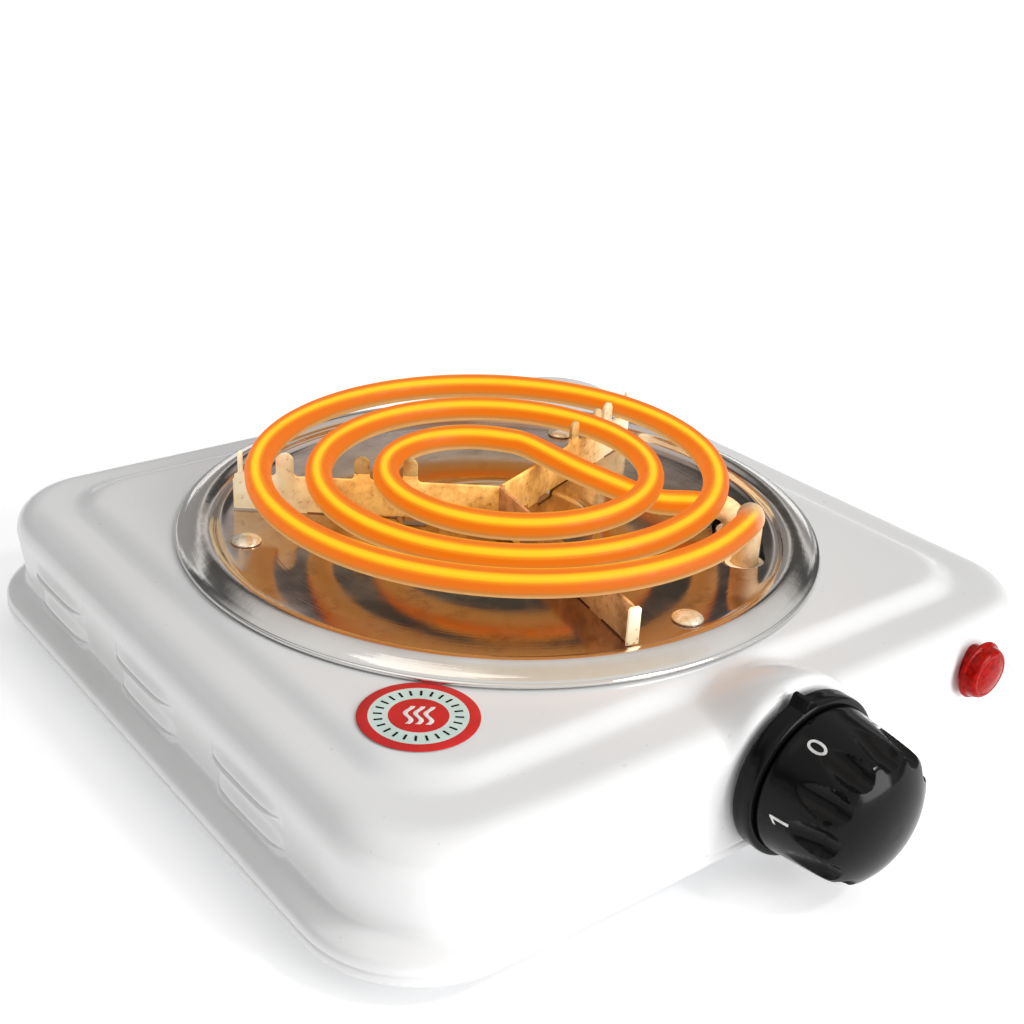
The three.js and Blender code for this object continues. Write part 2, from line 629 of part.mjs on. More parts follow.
const switchFrame = () => {
  const front = box(66, 1.2, 19, KNOB_X - 2, SWITCH_FRONT + 0.6, KNOB_Z - 2);
  const wings = [-34.4, 30.4].map((dx) => box(1.2, 27, 19, KNOB_X + dx, SWITCH_FRONT + 13.5, KNOB_Z - 2));
  const cuts = [alongY(3.6, SWITCH_FRONT - 3, SWITCH_FRONT + 3, KNOB_X, KNOB_Z, 18)];
  for (const dx of [-14, 14]) cuts.push(alongY(1.8, SWITCH_FRONT - 3, SWITCH_FRONT + 3, KNOB_X + dx, KNOB_Z, 12));
  cuts.push(alongY(1.7, SWITCH_FRONT - 3, SWITCH_FRONT + 3, PIVOT_X, BLADE_Z, 12));
  return meshOf('switch_frame', all([front, ...wings]).subtract(all(cuts)), zinc());
};

const switchBlock = () => {
  const block = box(63, 8, 22, KNOB_X - 2, CAM_Y + 9, KNOB_Z + 1);
  const cuts = [
    alongY(3.4, CAM_Y, CAM_Y + 20, KNOB_X, KNOB_Z, 18),
    alongY(1.7, CAM_Y, CAM_Y + 20, PIVOT_X, BLADE_Z, 12),
  ];
  return meshOf('switch_block', block.subtract(all(cuts)), ceramic());
};

const contactBlade = () => {
  const strip = box(50, 5, 0.8, PIVOT_X + 25, CAM_Y, BLADE_Z + 0.2);
  const eye = alongY(3, CAM_Y - 2.5, CAM_Y + 2.5, PIVOT_X, BLADE_Z, 16);
  const tip = upright(2, BLADE_Z, BLADE_Z + 1.8, PIVOT_X + 47, CAM_Y, 12);
  const body = all([strip, eye, tip]).subtract(alongY(1.6, CAM_Y - 5, CAM_Y + 5, PIVOT_X, BLADE_Z, 12));
  return meshOf('contact_blade', body, brass());
};

const bladePin = () => meshOf('blade_pin', alongY(1.3, SWITCH_FRONT - 0.6, CAM_Y + 12, PIVOT_X, BLADE_Z, 10), steel());

const fixedContact = () => {
  const high = BLADE_Z + 6.6;
  const strip = box(6, 6.4, 0.8, PIVOT_X + 47, CAM_Y + 1.2, high);
  const pad = upright(2, high - 1.1, high, PIVOT_X + 47, CAM_Y, 12);
  return meshOf('fixed_contact', strip.add(pad), brass());
};

const switchScrews = () => [['left', -14], ['right', 14]].map(([side, dx]) => {
  const thread = alongY(1.5, BEZEL_BACK - 3, SWITCH_FRONT + 2.6, KNOB_X + dx, KNOB_Z, 10);
  const head = alongY(3.6, BEZEL_BACK - 4.6, BEZEL_BACK - 2.7, KNOB_X + dx, KNOB_Z, 14);
  return meshOf(`switch_screw_${side}`, thread.add(head), zinc());
});

// ---- pilot lamp ----
const lampLens = () => {
  const dome = [
    [0, 0], [LAMP_RADIUS, 0], [LAMP_RADIUS, 1.2], [LAMP_RADIUS - 1.6, 1.6], [LAMP_RADIUS - 2, 4],
    [LAMP_RADIUS - 3.4, 6.2], [2, 7.4], [0, 7.6],
  ];
  const body = turnedForward(dome, LAMP_X, BEZEL_BACK, LAMP_Z, 28);
  const barrel = alongY(5.8, BEZEL_BACK - 0.5, FRONT_Y + 9, LAMP_X, LAMP_Z, 20);
  const bore = alongY(3.6, FRONT_Y - 3, FRONT_Y + 12, LAMP_X, LAMP_Z, 16);
  return meshOf('pilot_lens', body.add(barrel).subtract(bore), paint('#c8161c', 0.15, 0, { transparent: true, opacity: 0.85 }));
};

const lampBulb = () => {
  const glass = alongY(3, FRONT_Y - 2, FRONT_Y + 12, LAMP_X, LAMP_Z, 12);
  return meshOf('pilot_bulb', glass, paint('#ffb08a', 0.1, 0, { transparent: true, opacity: 0.6 }));
};

const lampClip = () => {
  const ring = alongY(7.5, FRONT_Y + 6.7, FRONT_Y + 7.7, LAMP_X, LAMP_Z, 18);
  return meshOf('lamp_clip', ring.subtract(alongY(6.1, FRONT_Y, FRONT_Y + 10, LAMP_X, LAMP_Z, 18)), steel());
};

// ---- mains entry ----
const cordGland = () => {
  const profile = [[3.4, -11], [5.9, -11], [5.9, 0], [8.6, 0], [8.6, 2], [7, 4.4], [3.4, 4.4]];
  const body = turned(profile, 24).rotate([-90, 0, 0]).translate([GLAND_X, -FRONT_Y - 4.7, GLAND_Z]);
  return meshOf('cord_gland', body, rubber());
};

const terminalBlock = () => {
  let block = box(26, 14, 12, GLAND_X - 22, 92, 16.2);
  const cuts = [-6.5, 6.5].map((dx) => upright(2, 16, 30, GLAND_X - 22 + dx, 92, 12));
  block = block.subtract(all(cuts));
  return meshOf('terminal_block', block, ceramic());
};

const terminalScrews = () => [['live', -6.5], ['neutral', 6.5]].map(([side, dx]) =>
  meshOf(`terminal_screw_${side}`, upright(1.6, 16.4, 24, GLAND_X - 22 + dx, 92, 10), brass()));

const earthScrew = () => meshOf(
  'earth_screw',
  upright(1.6, 9.2, 15, 20, 96, 10).add(upright(3.6, 13, 15.4, 20, 96, 12)),
  brass(),
);

const lead = (name, points, color) => {
  const curve = new THREE.CatmullRomCurve3(points.map(([x, y, z]) => new THREE.Vector3(x, y, z)), false, 'centripetal');
  return meshOf(name, tubeAlong(curve, 1.3, 6, 10), wireInsulation(color));
};

const leads = () => {
  const [ox, oy] = OUTER_LEG;
  const [ix, iy] = INNER_LEG;
  return [
    lead('lead_to_switch', [[ox - 2, oy - 3, 20], [ox - 8, oy - 12, 15], [36, -74, 14], [34, -83, 18]], '#c9a15c'),
    lead('lead_to_block', [[ix + 1, iy + 3, 20], [62, -10, 14], [56, 40, 13], [47, 84, 15]], '#e9e4d8'),
    lead('lead_mains', [[34, 84, 15], [10, 40, 13], [-26, -30, 13], [-36, -78, 16]], '#c9a15c'),
    lead('lead_lamp', [[LAMP_X, FRONT_Y + 14, LAMP_Z - 1], [LAMP_X + 2, -80, 20], [68, -55, 15], [66, -22, 16]], '#e9e4d8'),
  ];
};

// ---- feet, screws and label ----
const feet = () => footPlaces().map(({ name, x, y }) => {
  const pad = upright(9, 0, 7.5, x, y, 16, 10);
  const bore = upright(4.4, -1, 4, x, y, 12).add(upright(2.3, 0, 9, x, y, 10));
  return meshOf(`foot_${name}`, pad.subtract(bore), rubber());
});

const footScrews = () => footPlaces().map(({ name, x, y }) => {
  const thread = upright(1.9, 2, 22, x, y, 8);
  const head = upright(3.9, 1.6, 3.7, x, y, 10);
  return meshOf(`foot_screw_${name}`, thread.add(head), zinc());
});

const roundLabel = () => meshOf(
  'round_label',
  upright(LABEL_RADIUS, PLATEAU_Z + GAP, PLATEAU_Z + GAP + 0.3, LABEL_X, LABEL_Y, 40),
  paint('#d8322a', 0.4, 0),
);

// ---- assembly ----
const hotPlate = new THREE.Group();
hotPlate.position.y = KNOB_FRONT / 2;
hotPlate.add(
  upperHousing(),
  basePlate(),
  dripPan(),
  heatingCoil(),
  ...supports(),
  ...panRivets(),
  heatShield(),
  bead('ceramic_bead_outer', OUTER_LEG, PLATEAU_Z - 2),
  bead('ceramic_bead_inner', INNER_LEG, PLATEAU_Z - 2),
  elementClamp(),
  ...clampScrews(),
  ...terminalPins(),
  knobBezel(),
  controlKnob(),
  controlSpindle(),
  switchFrame(),
  switchBlock(),
  contactBlade(),
  bladePin(),
  fixedContact(),
  ...switchScrews(),
  lampLens(),
  lampBulb(),
  lampClip(),
  cordGland(),
  terminalBlock(),
  ...terminalScrews(),
  earthScrew(),
  ...leads(),
  ...feet(),
  ...footScrews(),
  roundLabel(),
);

export default hotPlate;
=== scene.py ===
"""Electric hot plate burner: an enamelled box, a polished drip pan and one glowing element.

Every piece is modelled in millimetres about the middle of the box, and goes into the row
frame, in metres, when its mesh is finished.
"""

import json
import logging
import math
from collections.abc import Sequence
from dataclasses import dataclass, field
from enum import Enum

import bmesh
import bpy
from mathutils import Matrix, Vector

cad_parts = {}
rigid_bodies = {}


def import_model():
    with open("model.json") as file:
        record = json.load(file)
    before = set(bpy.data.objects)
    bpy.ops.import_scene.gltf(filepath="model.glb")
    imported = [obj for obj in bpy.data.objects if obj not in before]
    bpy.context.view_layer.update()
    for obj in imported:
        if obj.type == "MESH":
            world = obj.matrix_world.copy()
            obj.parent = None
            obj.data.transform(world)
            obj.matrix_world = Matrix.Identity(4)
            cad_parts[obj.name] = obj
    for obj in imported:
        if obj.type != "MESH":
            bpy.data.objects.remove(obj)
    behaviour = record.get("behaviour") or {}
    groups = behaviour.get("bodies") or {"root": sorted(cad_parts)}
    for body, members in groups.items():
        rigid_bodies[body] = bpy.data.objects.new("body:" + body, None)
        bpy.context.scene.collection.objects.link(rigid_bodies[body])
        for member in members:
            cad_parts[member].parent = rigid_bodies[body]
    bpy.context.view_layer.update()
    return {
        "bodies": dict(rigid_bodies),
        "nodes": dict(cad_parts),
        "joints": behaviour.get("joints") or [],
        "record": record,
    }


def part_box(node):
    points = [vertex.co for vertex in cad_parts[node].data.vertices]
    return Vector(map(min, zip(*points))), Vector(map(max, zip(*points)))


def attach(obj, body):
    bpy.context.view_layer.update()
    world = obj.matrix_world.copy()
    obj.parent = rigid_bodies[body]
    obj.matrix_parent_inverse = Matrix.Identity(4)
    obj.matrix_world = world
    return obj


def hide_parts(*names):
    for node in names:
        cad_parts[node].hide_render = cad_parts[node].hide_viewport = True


log = logging.getLogger("hot_plate")
MM = 0.001
Colour = tuple[float, float, float]
Point = tuple[float, float]
Mesh = bmesh.types.BMesh


class Body(Enum):
    """The moving bodies of the part."""

    APPLIANCE = "appliance"
    KNOB = "knob"
    BLADE = "blade"


# ---- shader maths ----
class Wire:
    """An output socket of a material, with arithmetic that adds Math nodes."""

    def __init__(self, graph: "Graph", socket: bpy.types.NodeSocket) -> None:
        """Wraps a socket.

        Args:
            graph: the material being built.
            socket: the output socket.
        """
        self.graph = graph
        self.socket = socket

    def maths(self, operation: str, *terms: "Wire | float", clamp: bool = False) -> "Wire":
        """Adds one Math node.

        Args:
            operation: the Math node's operation.
            terms: its inputs in order.
            clamp: True to keep the result between 0 and 1.

        Returns:
            The node's output.
        """
        settings = {"operation": operation, "use_clamp": clamp}
        return self.graph.add("ShaderNodeMath", settings, dict(enumerate(terms)))

    def __add__(self, other: "Wire | float") -> "Wire":
        """Sum."""
        return self.maths("ADD", self, other)

    def __sub__(self, other: "Wire | float") -> "Wire":
        """Difference."""
        return self.maths("SUBTRACT", self, other)

    def __rsub__(self, other: float) -> "Wire":
        """Reflected difference."""
        return self.maths("SUBTRACT", other, self)

    def __mul__(self, other: "Wire | float") -> "Wire":
        """Product."""
        return self.maths("MULTIPLY", self, other)

    __radd__ = __add__
    __rmul__ = __mul__

    def between(self, low: float, high: float) -> "Wire":
        """A soft step from 0 at low to 1 at high."""
        settings = {"interpolation_type": "SMOOTHSTEP"}
        return self.graph.add("ShaderNodeMapRange", settings, {0: self, 1: low, 2: high})


class Graph:
    """The nodes of a material or of the world, under construction."""

    def __init__(self, owner: bpy.types.Material | bpy.types.World) -> None:
        """Turns the owner's nodes on.

        Args:
            owner: the material or the world.
        """
        owner.use_nodes = True
        self.tree = owner.node_tree

    def feed(self, socket: bpy.types.NodeSocket, value: object) -> None:
        """Links or sets a socket.

        Args:
            socket: an input socket.
            value: a Wire to link, or a plain value.
        """
        if isinstance(value, Wire):
            self.tree.links.new(value.socket, socket)
        elif isinstance(value, tuple) and len(value) == 3 and socket.type == "RGBA":
            socket.default_value = (*value, 1.0)
        else:
            socket.default_value = value

    def add(
        self, kind: str, settings: dict | None = None, sockets: dict | None = None, out: int | str = 0
    ) -> Wire:
        """Adds a node of any type.

        Args:
            kind: the node's type name.
            settings: its properties, and "stops" for a ramp's (place, colour) pairs.
            sockets: values or Wires by socket name or number.
            out: the number or name of the output that is returned.

        Returns:
            The chosen output.
        """
        node = self.tree.nodes.new(kind)
        for key, value in (settings or {}).items():
            if key == "stops":
                self._stops(node.color_ramp, value)
            else:
                setattr(node, key, value)
        for key, value in (sockets or {}).items():
            self.feed(node.inputs[key], value)
        return Wire(self, node.outputs[out])

    def _stops(self, ramp: bpy.types.ColorRamp, stops: Sequence[tuple[float, Colour]]) -> None:
        """Fills a colour ramp with (place, colour) pairs in rising order."""
        ramp.elements.remove(ramp.elements[1])
        for i, (place, colour) in enumerate(stops):
            stop = ramp.elements[0] if i == 0 else ramp.elements.new(place)
            stop.position = place
            stop.color = (*colour, 1.0)

    def place(self) -> Wire:
        """The Object coordinates."""
        return self.add("ShaderNodeTexCoord", out=3)

    def noise(self, scale: float, detail: float = 3.0, rough: float = 0.5, at: Wire | None = None) -> Wire:
        """Noise over the piece.

        Args:
            scale: how many features to the metre.
            detail: octaves.
            rough: how strong the small octaves are.
            at: coordinates, or None for Object coordinates.

        Returns:
            A value about 0.5.
        """
        sockets = {"Vector": at or self.place(), "Scale": scale, "Detail": detail, "Roughness": rough}
        return self.add("ShaderNodeTexNoise", None, sockets)

    def radius(self, centre: Vector) -> Wire:
        """Distance from an upright axis through centre, in millimetres."""
        offset = self.add("ShaderNodeVectorMath", {"operation": "SUBTRACT"}, {0: self.place(), 1: centre})
        flat = self.add("ShaderNodeVectorMath", {"operation": "MULTIPLY"}, {0: offset, 1: (1000, 1000, 0)})
        return self.add("ShaderNodeVectorMath", {"operation": "LENGTH"}, {0: flat}, out=1)

    def ramp(self, fac: Wire, stops: Sequence[tuple[float, Colour]]) -> Wire:
        """A colour ramp over fac."""
        return self.add("ShaderNodeValToRGB", {"stops": stops}, {0: fac})

    def mix(self, fac: Wire | float, first: Wire | Colour, second: Wire | Colour) -> Wire:
        """Mixes two colours."""
        return self.add("ShaderNodeMix", {"data_type": "RGBA"}, {0: fac, 6: first, 7: second}, out=2)

    def bump(self, height: Wire, strength: float, depth: float) -> None:
        """Feeds a bump into the shader's normal.

        Args:
            height: the pattern.
            strength: 0 to 1.
            depth: the pattern's full height in millimetres.
        """
        sockets = {"Height": height, "Strength": strength, "Distance": depth * MM}
        self.set(Normal=self.add("ShaderNodeBump", None, sockets))

    def set(self, **sockets: object) -> None:
        """Sets or links the Principled shader's sockets; underscores stand for spaces."""
        shader = self.tree.nodes["Principled BSDF"]
        for key, value in sockets.items():
            self.feed(shader.inputs[key.replace("_", " ")], value)


# ---- finishes ----
@dataclass(frozen=True)
class Finish:
    """A named surface finish. Each kind dresses a material in its own way."""

    name: str
    slot: str

    def dress(self, g: Graph) -> None:
        """Fills in the material's nodes."""
        raise NotImplementedError

    def material(self) -> bpy.types.Material:
        """The finish's material, made once."""
        found = bpy.data.materials.get(self.name)
        if found is None:
            found = bpy.data.materials.new(self.name)
            self.dress(Graph(found))
        return found


@dataclass(frozen=True)
class Mottled(Finish):
    """A finish of two close tones with uneven gloss and a fine grain."""

    light: Colour = (0.8, 0.8, 0.8)
    dark: Colour = (0.6, 0.6, 0.6)
    metal: float = 0.0
    gloss: tuple[float, float] = (0.3, 0.5)
    patch: float = 60.0
    grain: float = 900.0
    depth: float = 0.05
    coat: float = 0.0
    stretch: tuple[float, float, float] = (1, 1, 1)

    def dress(self, g: Graph) -> None:
        """Tone by patches, roughness by smudges, grain by bump."""
        at = g.add("ShaderNodeMapping", None, {"Vector": g.place(), "Scale": self.stretch})
        tone = g.noise(self.patch, 4, 0.6, at).between(0.35, 0.68)
        speck = g.noise(self.grain * 0.7, 2, 0.5, at).between(0.62, 0.78) * 0.35
        g.set(Base_Color=g.mix((tone + speck).maths("MINIMUM", tone + speck, 1.0), self.light, self.dark))
        low, high = self.gloss
        smudge = g.noise(self.patch * 1.7, 5, 0.65).between(0.3, 0.75)
        g.set(Roughness=smudge * (high - low) + low, Metallic=self.metal, Coat_Weight=self.coat)
        g.set(Coat_Roughness=0.08)
        g.bump(g.noise(self.grain, 3, 0.55, at), 0.35, self.depth)


@dataclass(frozen=True)
class Enamel(Finish):
    """Stoved white enamel: a glassy skin with a slight orange peel and the odd dust speck."""

    def dress(self, g: Graph) -> None:
        """Near white, a touch warmer in broad patches."""
        tone = g.noise(14, 3).between(0.3, 0.7)
        speck = g.noise(520, 1, 0.4).between(0.77, 0.80)
        skin = g.mix(tone, (0.87, 0.87, 0.868), (0.835, 0.833, 0.828))
        g.set(Base_Color=g.mix(speck * 0.25, skin, (0.5, 0.49, 0.47)))
        wipe = g.noise(45, 4, 0.6).between(0.35, 0.75)
        g.set(Roughness=wipe * 0.08 + 0.3, Coat_Weight=0.5, Coat_Roughness=0.12)
        peel = g.noise(160, 1, 0.4)
        g.bump(peel, 0.06, 0.1)


@dataclass(frozen=True)
class PanSheet(Finish):
    """Polished sheet, spun, and tinted by heat towards the middle."""

    centre: Vector = field(default_factory=Vector)

    def dress(self, g: Graph) -> None:
        """Colour, gloss and turning marks follow the distance from the pan's middle."""
        r = g.radius(self.centre)
        cloud = g.noise(38, 4, 0.62)
        wander = r + (cloud - 0.5) * 9.0
        stops = [
            (0.0, (0.46, 0.33, 0.20)),
            (0.26, (0.46, 0.33, 0.20)),
            (0.31, (0.56, 0.43, 0.28)),
            (0.60, (0.48, 0.345, 0.24)),
            (0.72, (0.50, 0.37, 0.31)),
            (0.80, (0.60, 0.52, 0.46)),
            (0.90, (0.80, 0.78, 0.75)),
            (1.0, (0.86, 0.85, 0.84)),
        ]
        base = g.ramp(wander * 0.01, stops)
        stain = g.noise(95, 5, 0.7).between(0.5, 0.72) * (1 - r.between(70, 84))
        base = g.mix(stain * 0.45, base, (0.16, 0.075, 0.06))
        g.set(Base_Color=base, Metallic=1.0)
        smudge = g.noise(70, 5, 0.65).between(0.35, 0.7)
        g.set(Roughness=smudge * 0.08 + 0.06 + (1 - r.between(66, 82)) * 0.03)
        ring_at = g.add("ShaderNodeCombineXYZ", None, {0: r * 0.9, 1: cloud * 0.2})
        rings = g.add("ShaderNodeTexNoise", None, {"Vector": ring_at, "Scale": 2.2, "Detail": 4.0})
        dents = g.noise(42, 2, 0.4)
        lip = r.between(79, 83)
        streak = g.noise(160, 3, 0.6) * lip * 0.35
        g.bump(rings * (lip * 0.3 + 0.1) + dents + streak, 0.35, 0.35)


@dataclass(frozen=True)
class ScorchedStrip(Finish):
    """Support strip: plated steel gone golden and speckled with heat, its outer ends lightened and given a
    faint glow as painted light.
    """

    centre: Vector = field(default_factory=Vector)
    gold: tuple[Colour, Colour] = ((0.86, 0.62, 0.24), (0.54, 0.33, 0.10))
    end: tuple[Colour, Colour] = ((1.0, 0.94, 0.70), (0.94, 0.80, 0.50))
    warmth: float = 0.26

    def dress(self, g: Graph) -> None:
        """Gold near the hub, paler at the end, where the pale tone is partly painted light, with dark
        specks of scorch.
        """
        r = g.radius(self.centre)
        patch = g.noise(130, 5, 0.7).between(0.36, 0.66)
        # the paler end tone is partly heat tint and partly painted light on the lit outer ends
        base = g.mix(r.between(42, 70), g.mix(patch, *self.gold), g.mix(patch, *self.end))
        speck = g.noise(520, 4, 0.75).between(0.58, 0.70)
        base = g.mix(speck * 0.6, base, (0.24, 0.11, 0.04))
        # painted glow: the outer ends emit a little of their own colour, standing in for light from the
        # element
        g.set(Emission_Color=g.mix(r.between(46, 70), (0.0, 0.0, 0.0), base), Emission_Strength=self.warmth)
        g.set(Base_Color=base, Metallic=0.25)
        g.set(Roughness=g.noise(240, 4, 0.6).between(0.3, 0.7) * 0.2 + 0.34)
        g.bump(g.noise(1100, 3, 0.6) * 0.4 + g.noise(120, 3, 0.5), 0.35, 0.16)


@dataclass(frozen=True)
class GlowingTube(Finish):
    """The element's sheath, from yellow heat along a painted highlight line to tan scale below."""

    def dress(self, g: Graph) -> None:
        """The glow attribute, heat with a painted highlight line in it, runs across the tube, and lit along
        the tube.
        """
        glow = g.add("ShaderNodeAttribute", {"attribute_name": "glow"}, out=2)
        lit = g.add("ShaderNodeAttribute", {"attribute_name": "lit"}, out=2)
        waver = (g.noise(60, 3) - 0.5) * 0.02
        # the top of this ramp draws the painted highlight line that the glow attribute carries
        heat = g.ramp(
            glow + waver,
            [
                (0.0, (0.52, 0.30, 0.10)),
                (0.12, (0.50, 0.26, 0.08)),
                (0.36, (0.54, 0.20, 0.035)),
                (0.55, (0.76, 0.19, 0.016)),
                (0.72, (0.83, 0.17, 0.005)),
                (0.86, (0.84, 0.17, 0.002)),
                (0.94, (0.92, 0.30, 0.005)),
                (0.98, (1.0, 0.58, 0.010)),
                (1.0, (1.0, 0.68, 0.016)),
            ],
        )
        scale = g.noise(300, 4, 0.6).between(0.35, 0.7)
        tan = g.mix(scale, (0.80, 0.62, 0.40), (0.62, 0.43, 0.24))
        hot = (glow.between(0.05, 0.5) * 0.3 + 0.7) * lit
        g.set(Base_Color=g.mix(hot, tan, (0.04, 0.010, 0.002)), Metallic=0.0)
        g.set(Roughness=scale * 0.15 + 0.45, Specular_IOR_Level=0.2)
        g.set(Emission_Color=g.mix(lit, (0.02, 0.009, 0.003), heat), Emission_Strength=1.0)
        g.bump(g.noise(700, 3, 0.6), 0.2, 0.08)


@dataclass(frozen=True)
class Phenolic(Finish):
    """Black moulded phenolic: deep gloss, hairline scratches and a little dust."""

    def dress(self, g: Graph) -> None:
        """Near black with a worn sheen."""
        dust = g.noise(420, 4, 0.7).between(0.66, 0.8) * 0.15
        g.set(Base_Color=g.mix(dust, (0.006, 0.006, 0.006), (0.11, 0.11, 0.11)))
        drawn = {"Vector": g.place(), "Scale": (6, 1, 1), "Rotation": (0.3, 0.5, 0.9)}
        at = g.add("ShaderNodeMapping", None, drawn)
        scratch = g.noise(260, 3, 0.6, at).between(0.45, 0.8)
        g.set(Roughness=scratch * 0.12 + 0.12, Specular_IOR_Level=0.13)
        g.bump(g.noise(150, 3, 0.5), 0.12, 0.15)


@dataclass(frozen=True)
class RubyLens(Finish):
    """The pilot lamp's clear red plastic, with a faceted inside."""

    def dress(self, g: Graph) -> None:
        """Deep red, lighter where the facets catch the light."""
        sockets = {"Vector": g.place(), "Scale": 900.0}
        facet = g.add("ShaderNodeTexVoronoi", None, sockets)
        tone = facet.between(0.0, 1.3)
        g.set(Base_Color=g.mix(tone, (0.34, 0.003, 0.001), (0.16, 0.001, 0.0)))
        g.set(Emission_Color=g.mix(tone, (0.44, 0.006, 0.001), (0.06, 0.0, 0.0)), Emission_Strength=0.22)
        g.set(Roughness=g.noise(200, 2) * 0.08 + 0.08, Specular_IOR_Level=0.1)
        g.bump(facet, 0.2, 0.15)


@dataclass(frozen=True)
class PaleGround(Finish):
    """The studio floor: matt, pale and all but even."""

    def dress(self, g: Graph) -> None:
        """A very faint tooth, and brighter far away, where the lights do not reach."""
        tone = g.mix(g.noise(6, 3), (0.95, 0.95, 0.95), (0.92, 0.92, 0.92))
        reach = g.add("ShaderNodeVectorMath", {"operation": "LENGTH"}, {"Vector": g.place()}, out=1)
        far = g.mix(reach.between(0.7, 2.2), tone, (2.6, 2.6, 2.6))
        g.set(Base_Color=tone, Emission_Color=far, Emission_Strength=0.4)
        g.set(Roughness=0.85, Specular_IOR_Level=0.1)


ENAMEL = Enamel("white_enamel", "enamel")
PHENOLIC = Phenolic("black_phenolic", "bakelite")
GLOW = GlowingTube("glowing_sheath", "element")
LENS = RubyLens("ruby_lens", "lens")
ZINC = Mottled(
    "zinc_plate", "zinc", (0.62, 0.63, 0.65), (0.42, 0.43, 0.45), 0.9, (0.3, 0.5), 110, 700, 0.05
)
DULL_STEEL = Mottled(
    "dull_steel", "steel", (0.52, 0.50, 0.47), (0.33, 0.29, 0.25), 0.9, (0.32, 0.5), 140, 900, 0.05
)
RIVET_STEEL = Mottled(
    "rivet_steel", "steel", (0.97, 0.90, 0.74), (0.76, 0.63, 0.45), 0.7, (0.2, 0.42), 300, 1200, 0.06
)
BRASS = Mottled(
    "brass", "brass", (0.72, 0.52, 0.22), (0.50, 0.33, 0.12), 1.0, (0.25, 0.45), 150, 1000, 0.04
)
CERAMIC = Mottled(
    "ceramic", "ceramic", (0.80, 0.74, 0.63), (0.68, 0.60, 0.47), 0.0, (0.5, 0.75), 120, 800, 0.1
)
RUBBER = Mottled(
    "black_rubber", "rubber", (0.018, 0.018, 0.018), (0.045, 0.044, 0.042), 0.0, (0.6, 0.85), 90, 1300, 0.12
)
GLASS_BULB = Mottled(
    "neon_glass", "bulb", (0.9, 0.42, 0.25), (0.7, 0.25, 0.12), 0.0, (0.05, 0.15), 200, 800, 0.02, 1.0
)
LEAD_TAN = Mottled(
    "lead_tan", "lead_tan", (0.58, 0.38, 0.16), (0.42, 0.26, 0.10), 0.0, (0.45, 0.65), 220, 1500, 0.12
)
LEAD_PALE = Mottled(
    "lead_pale", "lead_pale", (0.80, 0.77, 0.70), (0.66, 0.62, 0.54), 0.0, (0.45, 0.65), 220, 1500, 0.12
)
LABEL_RED = Mottled(
    "label_red", "label", (0.66, 0.005, 0.004), (0.56, 0.004, 0.003), 0.0, (0.45, 0.6), 160, 1400, 0.02
)
LABEL_MINT = Mottled(
    "label_mint", "label", (0.66, 0.80, 0.74), (0.58, 0.73, 0.67), 0.0, (0.4, 0.55), 160, 1400, 0.02
)
LABEL_WHITE = Mottled(
    "label_white", "label", (0.86, 0.86, 0.85), (0.78, 0.78, 0.77), 0.0, (0.25, 0.4), 160, 1400, 0.02
)
DIAL_WHITE = Mottled(
    "dial_white", "bakelite", (0.86, 0.86, 0.84), (0.62, 0.62, 0.60), 0.0, (0.35, 0.55), 400, 2500, 0.02
)


# ---- mesh tools ----
def faired(points: Sequence[Sequence[float]], steps: int) -> list[Vector]:
    """Draws one smooth line through points, centripetal so that it never loops.

    Args:
        points: the line's own points, in two or three dimensions.
        steps: how many parts each span is cut into.

    Returns:
        The line's points.
    """
    least = 1e-6
    given = [Vector((*p, 0.0)) if len(p) == 2 else Vector(p) for p in points]
    given = [given[0] * 2 - given[1], *given, given[-1] * 2 - given[-2]]
    line = [given[1].copy()]
    for a, b, c, d in zip(given, given[1:], given[2:], given[3:]):
        t1 = max((b - a).length, least) ** 0.5
        t2 = t1 + max((c - b).length, least) ** 0.5
        t3 = t2 + max((d - c).length, least) ** 0.5
        for i in range(1, steps + 1):
            t = t1 + (t2 - t1) * i / steps
            a1 = a + (b - a) * (t / t1)
            a2 = b + (c - b) * ((t - t1) / (t2 - t1))
            a3 = c + (d - c) * ((t - t2) / (t3 - t2))
            b1 = a1 + (a2 - a1) * (t / t2)
            b2 = a2 + (a3 - a2) * ((t - t1) / (t3 - t1))
            line.append(b1 + (b2 - b1) * ((t - t1) / (t2 - t1)))
    return line


def smooth_max(a: float, b: float, blend: float) -> float:
    """The greater of two numbers, with a fillet as wide as blend where they meet."""
    share = min(1.0, max(0.0, 0.5 + 0.5 * (b - a) / blend))
    return a + (b - a) * share + blend * share * (1 - share)


def ease(x: float) -> float:
    """A soft step from 0 to 1."""
    x = min(1.0, max(0.0, x))
    return x * x * (3 - 2 * x)


def soften(bm: Mesh, degrees: float) -> None:
    """Shades smooth, but keeps each edge sharper than an angle crisp."""
    limit = math.radians(degrees)
    for face in bm.faces:
        face.smooth = True
    for edge in bm.edges:
        edge.smooth = len(edge.link_faces) != 2 or edge.calc_face_angle(0.0) < limit


def bevelled(bm: Mesh, edges: Sequence[bmesh.types.BMEdge], offset: float, segments: int) -> None:
    """Rounds edges.

    Args:
        bm: the mesh.
        edges: the edges to round.
        offset: how far the round reaches, in millimetres.
        segments: facets in the round.
    """
    bmesh.ops.bevel(
        bm, geom=list(edges), offset=offset, offset_type="OFFSET", affect="EDGES", segments=segments,
        profile=0.5, material=-1, clamp_overlap=True,
    )


